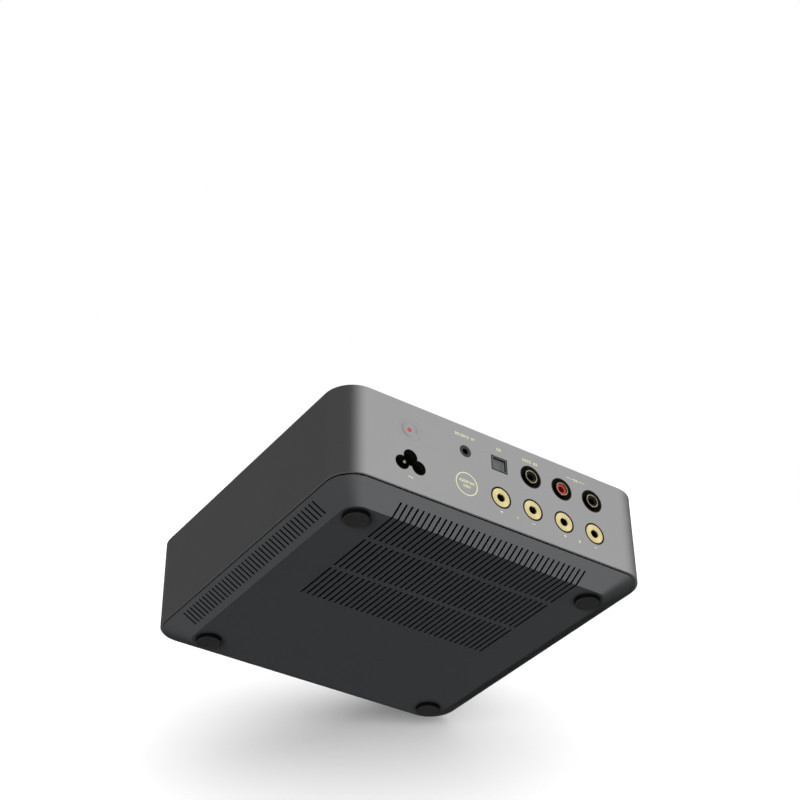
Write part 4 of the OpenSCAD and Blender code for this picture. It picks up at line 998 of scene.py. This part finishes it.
# Lines of plain digits in a box 0.6 wide and 1 high
DIGITS = {
    "0": [arc(0.3, 0.5, 0.27, 0.5, 90, 450, 28)],
    "1": [bent((0.12, 0.8), (0.34, 1.0), (0.34, 0.0))],
    "2": [np.concatenate([arc(0.3, 0.73, 0.27, 0.27, 165, -30),
                          bent((0.5, 0.55), (0.03, 0.0), (0.58, 0.0))])],
    "3": [arc(0.28, 0.75, 0.25, 0.25, 150, -80), arc(0.28, 0.26, 0.28, 0.26, 85, -150)],
    "4": [bent((0.42, 0.0), (0.42, 1.0), (0.02, 0.3), (0.6, 0.3))],
    "5": [np.concatenate([bent((0.54, 1.0), (0.12, 1.0), (0.08, 0.56)),
                          arc(0.28, 0.32, 0.29, 0.32, 120, -145)])],
    "6": [arc(0.3, 0.3, 0.27, 0.3, 90, 450, 20), arc(0.62, 0.34, 0.59, 0.7, 180, 115)],
    "7": [bent((0.02, 1.0), (0.56, 1.0), (0.2, 0.0))],
    "8": [arc(0.3, 0.75, 0.23, 0.25, 90, 450, 20), arc(0.3, 0.26, 0.28, 0.26, 90, 450, 20)],
    "9": [arc(0.3, 0.7, 0.27, 0.3, 90, 450, 20), arc(-0.02, 0.66, 0.59, 0.7, 0, -65)],
}


def number_paths(text, x, z, wide, high, line):
    """Lines of a number, set to a width. Seen from the rear, text runs towards -X."""
    box, share, last_gap = 0.6, 0.75, 0.25
    step = wide / (len(text) - last_gap)
    for place, letter in enumerate(text):
        for path in DIGITS.get(letter, ()):
            across = x + wide / 2 - place * step - path[:, 0] / box * step * share
            yield np.stack([across, z + (path[:, 1] - 0.5) * (high - line)], 1)


class AMPLIFIER_OT_printed_marks(bpy.types.Operator):
    """Prints the ring, the plain numbers and the signs on the rear panel"""
    bl_idname = "amplifier.printed_marks"
    bl_label = "Printed marks"

    def execute(self, context):
        s = context.scene.amplifier_looks
        height = s.ink_height / MM
        for name, lines in (("printed_ring", self.ring(s)), ("printed_numbers", self.numbers(s)),
                            ("printed_signs", self.signs(s))):
            parts = [stroke(path, width, height, PANEL, closed) for path, width, closed in lines]
            build(name, parts, slot_material("ink"))
        return {"FINISHED"}

    def ring(self, s):
        """The ring's path, the width of its line and whether it closes."""
        inset, t = 0.25, around(120)
        r = s.ring_width / MM / 2 - inset
        return [(np.stack([RING_X + r * np.cos(t), RING_Z + r * np.sin(t)], 1), s.ring_line / MM, True)]

    def numbers(self, s):
        """The same for each line of the numbers."""
        height, line = s.mark_height / MM, s.mark_line / MM
        return [(path, line, False) for *number, share in PANEL_NUMBERS
                for path in number_paths(*number, height * share, line)]

    def signs(self, s):
        """The same for the short lines, the plus and minus signs and the wave of alternating current."""
        thin, bold, arm, z = 0.28, s.sign_line / MM, 0.7, LOW_MARKS
        wave_half, wave_rise, wave_line, wave = 1.15, 0.25, 0.46, np.linspace(-1, 1, 25)
        lines = [(straight((a, HIGH_MARKS), (b, HIGH_MARKS)), thin, False) for a, b in PANEL_LINES]
        for x in PANEL_PLUSES:
            lines.append((straight((x + arm, z), (x - arm, z)), bold, False))
            lines.append((straight((x, z - arm), (x, z + arm)), bold, False))
        lines += [(straight((x + arm, z), (x - arm, z)), bold, False) for x in PANEL_MINUSES]
        lines.append((np.stack([INLET_X - wave_half * wave, z + wave_rise * np.sin(-wave * math.pi)], 1),
                      wave_line, False))
        return lines


# Stage

# The camera as it was fitted to the photo: its axes, its place in metres, and its lens and frame width in
# millimetres
CAMERA_RIGHT = Vector((-0.82412, 0.56629, -0.01152))
CAMERA_DOWN = Vector((-0.33351, -0.5016, -0.79823))
CAMERA_AHEAD = Vector((-0.45781, -0.654, 0.60224))
CAMERA_PLACE = Vector((0.4380525, 0.6327209, -0.4411250))
CAMERA_LENS, CAMERA_FRAME = 79.717, 36

# Directions towards the lamps, and the angles in degrees that they fill
KEY_AT, KEY_ANGLE = Vector((0.9, 5.9, -1.0)), 16
TOP_AT, TOP_ANGLE = Vector((-0.45, -0.6, 0.75)), 30
TRAY_AT, TRAY_ANGLE = Vector((0.88, 0.4, -0.25)), 50

# What reflections show. The window fades in and out over these degrees of azimuth and this range of height,
# and each card over this range of the cosine to its middle. Below the ground's fade and before the front's,
# the grey cards have these levels
WINDOW_RISE, WINDOW_FALL, WINDOW_SILL = 74, 93, (-0.1, 0.15)
LOW_CARD_AT, LOW_CARD_FADE = Vector((-0.425, 0.1, -0.9)).normalized(), (0.85, 0.985)
DARK_CARD_AT, DARK_CARD_FADE, DARK_CARD_SHARE = Vector((-0.5, -0.85, 0.15)).normalized(), (0.78, 0.9), 0.1
GROUND_LEVEL, GROUND_FADE, FRONT_SHARE, FRONT_FADE = 0.2, (-0.4, 0.0), 0.86, (-0.7, -0.4)

# The sweep: its radius in metres, its paleness to the eye and to the light it throws back, and the light it
# gives off so that its shadow isn't black
SWEEP_RADIUS, SWEEP_PALE, SWEEP_DULL, SWEEP_LIFT = 0.4, 0.8, 0.02, 0.09


def overhead_direction(up, s):
    """Direction of the lamp over the floor: the floor's normal, leaned towards the camera's right and towards
    the camera."""
    across = (CAMERA_RIGHT - up * CAMERA_RIGHT.dot(up)).normalized()
    near = up.cross(across)
    if near.dot(CAMERA_AHEAD) > 0:
        near = -near
    return (up + across * s.overhead_right + near * s.overhead_near).normalized()


def toward(tree, way, middle):
    """Cosine of the angle between a direction and the middle of a card."""
    return put(tree, "ShaderNodeVectorMath", {0: way, 1: middle}, operation="DOT_PRODUCT").outputs["Value"]


def reflected_level(tree, s):
    """Level of the surroundings as reflections show them, by their direction: a white window behind the
    rear panel whose edges fade, dim grey cards around it, a darker one before the front, and a bright one
    low under the rear edge. Azimuth runs from 0 to 360 degrees, anticlockwise from +X."""
    way = put(tree, "ShaderNodeTexCoord").outputs["Generated"]
    x, y, z = put(tree, "ShaderNodeSeparateXYZ", {0: way}).outputs
    behind = calc(tree, "ARCTAN2", calc(tree, "MULTIPLY", y, -1.0), calc(tree, "MULTIPLY", x, -1.0))
    azimuth = calc(tree, "DEGREES", calc(tree, "ADD", behind, math.pi))
    rise = spread(tree, azimuth, 0, 1, s.window_start, s.window_start + WINDOW_RISE, "SMOOTHSTEP")
    fall = spread(tree, azimuth, 1, 0, s.window_end - WINDOW_FALL, s.window_end, "SMOOTHSTEP")
    window = calc(tree, "MULTIPLY", rise, fall)
    window = calc(tree, "MULTIPLY", window, spread(tree, z, 0, 1, *WINDOW_SILL, "SMOOTHSTEP"))
    low = spread(tree, toward(tree, way, LOW_CARD_AT), 0, s.card_level, *LOW_CARD_FADE, "SMOOTHSTEP")
    cards = spread(tree, z, GROUND_LEVEL, s.flag_level, *GROUND_FADE, "SMOOTHSTEP")
    cards = calc(tree, "MULTIPLY", cards, spread(tree, y, FRONT_SHARE, 1, *FRONT_FADE))
    dark = spread(tree, toward(tree, way, DARK_CARD_AT), 1, DARK_CARD_SHARE, *DARK_CARD_FADE, "SMOOTHSTEP")
    cards = calc(tree, "MULTIPLY", cards, dark)
    return calc(tree, "ADD", calc(tree, "ADD", cards, low), calc(tree, "MULTIPLY", window, 1 - s.flag_level))


def floor_material():
    """White sweep: whatever it shows to the eye is white except in the object's shadow, it gives the object
    hardly any light back, and from behind and for lamps it isn't there."""
    material = bpy.data.materials.new("white_sweep")
    material.use_nodes = True
    tree = material.node_tree
    tree.nodes.clear()
    path = put(tree, "ShaderNodeLightPath").outputs
    seen = calc(tree, "MAXIMUM", calc(tree, "MAXIMUM", path["Is Camera Ray"], path["Is Glossy Ray"]),
                path["Is Transmission Ray"])
    pale = put(tree, "ShaderNodeBsdfDiffuse", {"Color": (*[SWEEP_PALE] * 3, 1)}).outputs[0]
    lift = put(tree, "ShaderNodeEmission", {"Color": (1, 1, 1, 1), "Strength": SWEEP_LIFT}).outputs[0]
    white = put(tree, "ShaderNodeAddShader", {0: pale, 1: lift}).outputs[0]
    dull = put(tree, "ShaderNodeBsdfDiffuse", {"Color": (*[SWEEP_DULL] * 3, 1)}).outputs[0]
    front = put(tree, "ShaderNodeMixShader", {0: seen, 1: dull, 2: white}).outputs[0]
    behind = put(tree, "ShaderNodeNewGeometry").outputs["Backfacing"]
    gone = calc(tree, "MAXIMUM", behind, path["Is Shadow Ray"])
    clear = put(tree, "ShaderNodeBsdfTransparent").outputs[0]
    put(tree, "ShaderNodeOutputMaterial",
        {"Surface": put(tree, "ShaderNodeMixShader", {0: gone, 1: front, 2: clear}).outputs[0]})
    return material


class AMPLIFIER_OT_stage(bpy.types.Operator):
    """Builds the floor, the white surroundings, the lamps and the camera"""
    bl_idname = "amplifier.stage"
    bl_label = "Stage"

    def execute(self, context):
        s = context.scene.amplifier_looks
        up = (-CAMERA_DOWN * math.cos(s.floor_tilt) - CAMERA_AHEAD * math.sin(s.floor_tilt)).normalized()
        floor = self.lay_floor(context.scene, up)
        self.fill_world(context.scene, s)
        self.hang_lamps(context.scene, s, up, floor)
        self.aim_camera(context.scene)
        context.scene.view_settings.view_transform = "Standard"
        return {"FINISHED"}

    def lay_floor(self, scene, up):
        """Disc across the direction up, through the lowest point of the amplifier:
        P(i, j) = foot + r(i) (cos t(j) side + sin t(j) other)."""
        points = np.array([v.co for node in frame["nodes"].values() for v in node.data.vertices])
        foot = points[int((points @ np.array(up)).argmin())]
        r, t = np.linspace(0, SWEEP_RADIUS, 7), around(64)
        side = up.cross(Vector((1, 0, 0))).normalized()
        other = up.cross(side)
        disc = np.array(foot) + r[:, None, None] * (np.cos(t)[None, :, None] * np.array(side)
                                                   + np.sin(t)[None, :, None] * np.array(other))
        vertices, faces = weld(*skin(disc, False, True))
        mesh = bpy.data.meshes.new("stage_floor")
        mesh.from_pydata(vertices.tolist(), [], faces)
        mesh.update()
        if Vector(mesh.polygons[0].normal).dot(up) < 0:
            mesh.flip_normals()
        mesh.materials.append(floor_material())
        floor = bpy.data.objects.new("stage_floor", mesh)
        floor.visible_glossy = False
        scene.collection.objects.link(floor)
        return floor

    def fill_world(self, scene, s):
        """White to the camera, the window and the cards to reflections, and a faint level to all else."""
        world = bpy.data.worlds.new("white_surroundings")
        scene.world = world
        world.use_nodes = True
        tree = world.node_tree
        tree.nodes.clear()
        path = put(tree, "ShaderNodeLightPath").outputs
        seen = calc(tree, "MAXIMUM", path["Is Camera Ray"], path["Is Transmission Ray"])
        mirrored = calc(tree, "MULTIPLY", path["Is Glossy Ray"], reflected_level(tree, s))
        level = calc(tree, "MAXIMUM", calc(tree, "MAXIMUM", seen, mirrored), s.ambient)
        glow = put(tree, "ShaderNodeBackground", {"Color": (1, 1, 1, 1), "Strength": level})
        put(tree, "ShaderNodeOutputWorld", {"Surface": glow.outputs[0]})

    def hang_lamps(self, scene, s, up, floor):
        """Four suns, each with its own receivers. Matt white that faces a lamp of level 1 renders white."""
        others, upper, under, sweep = (bpy.data.collections.new(name) for name in (
            "all_but_sweep", "all_but_sweep_and_underside", "underside_only", "sweep_only"))
        for group in (others, upper, sweep):
            group.objects.link(floor)
        for item in list(scene.objects):
            if item.name.startswith(("foot_", "base_tray")):
                upper.objects.link(item)
                under.objects.link(item)
        for group in (others, upper):
            for member in group.collection_objects:
                member.light_linking.link_state = "EXCLUDE"
        for name, towards, level, angle, receivers in (
                ("key_lamp", KEY_AT, s.key_level, math.radians(KEY_ANGLE), upper),
                ("top_lamp", TOP_AT, s.top_level, math.radians(TOP_ANGLE), others),
                ("tray_lamp", TRAY_AT, s.tray_level, math.radians(TRAY_ANGLE), under),
                ("overhead_lamp", overhead_direction(up, s), s.overhead_level, s.overhead_angle, sweep)):
            lamp = bpy.data.lights.new(name, "SUN")
            lamp.energy = math.pi * level
            lamp.angle = angle
            lamp_object = bpy.data.objects.new(name, lamp)
            lamp_object.matrix_world = towards.to_track_quat("Z", "Y").to_matrix().to_4x4()
            lamp_object.visible_glossy = False
            lamp_object.light_linking.receiver_collection = receivers
            scene.collection.objects.link(lamp_object)

    def aim_camera(self, scene):
        """The photo's camera: its place, its turn and its lens."""
        camera = bpy.data.cameras.new("photo_camera")
        camera.sensor_width = CAMERA_FRAME
        camera.lens = CAMERA_LENS
        camera_object = bpy.data.objects.new("photo_camera", camera)
        turn = Matrix((CAMERA_RIGHT, -CAMERA_DOWN, -CAMERA_AHEAD)).transposed()
        camera_object.matrix_world = Matrix.Translation(CAMERA_PLACE) @ turn.to_4x4()
        scene.collection.objects.link(camera_object)
        scene.camera = camera_object


class AMPLIFIER_PT_looks(bpy.types.Panel):
    """Sidebar panel with the settings and the operators"""
    bl_label = "Audio amplifier"
    bl_idname = "AMPLIFIER_PT_looks"
    bl_space_type = "VIEW_3D"
    bl_region_type = "UI"
    bl_category = "Amplifier"

    def draw(self, context):
        for key in AmplifierSettings.__annotations__:
            self.layout.prop(context.scene.amplifier_looks, key)
        for operator in OPERATORS:
            self.layout.operator(operator.bl_idname)


OPERATORS = [AMPLIFIER_OT_finishes, AMPLIFIER_OT_feet, AMPLIFIER_OT_speaker_sockets,
             AMPLIFIER_OT_input_sockets, AMPLIFIER_OT_button, AMPLIFIER_OT_jack, AMPLIFIER_OT_mains_inlet,
             AMPLIFIER_OT_optical_port, AMPLIFIER_OT_printed_marks, AMPLIFIER_OT_stage]
CLASSES = [AmplifierSettings, *OPERATORS, AMPLIFIER_PT_looks]


def register():
    for item in CLASSES:
        bpy.utils.register_class(item)
    bpy.types.Scene.amplifier_looks = PointerProperty(type=AmplifierSettings)


def unregister():
    del bpy.types.Scene.amplifier_looks
    for item in reversed(CLASSES):
        bpy.utils.unregister_class(item)


def main():
    register()
    for operator in OPERATORS:
        group, name = operator.bl_idname.split(".")
        getattr(getattr(bpy.ops, group), name)()
    bpy.context.view_layer.update()


if __name__ == "__main__":
    main()
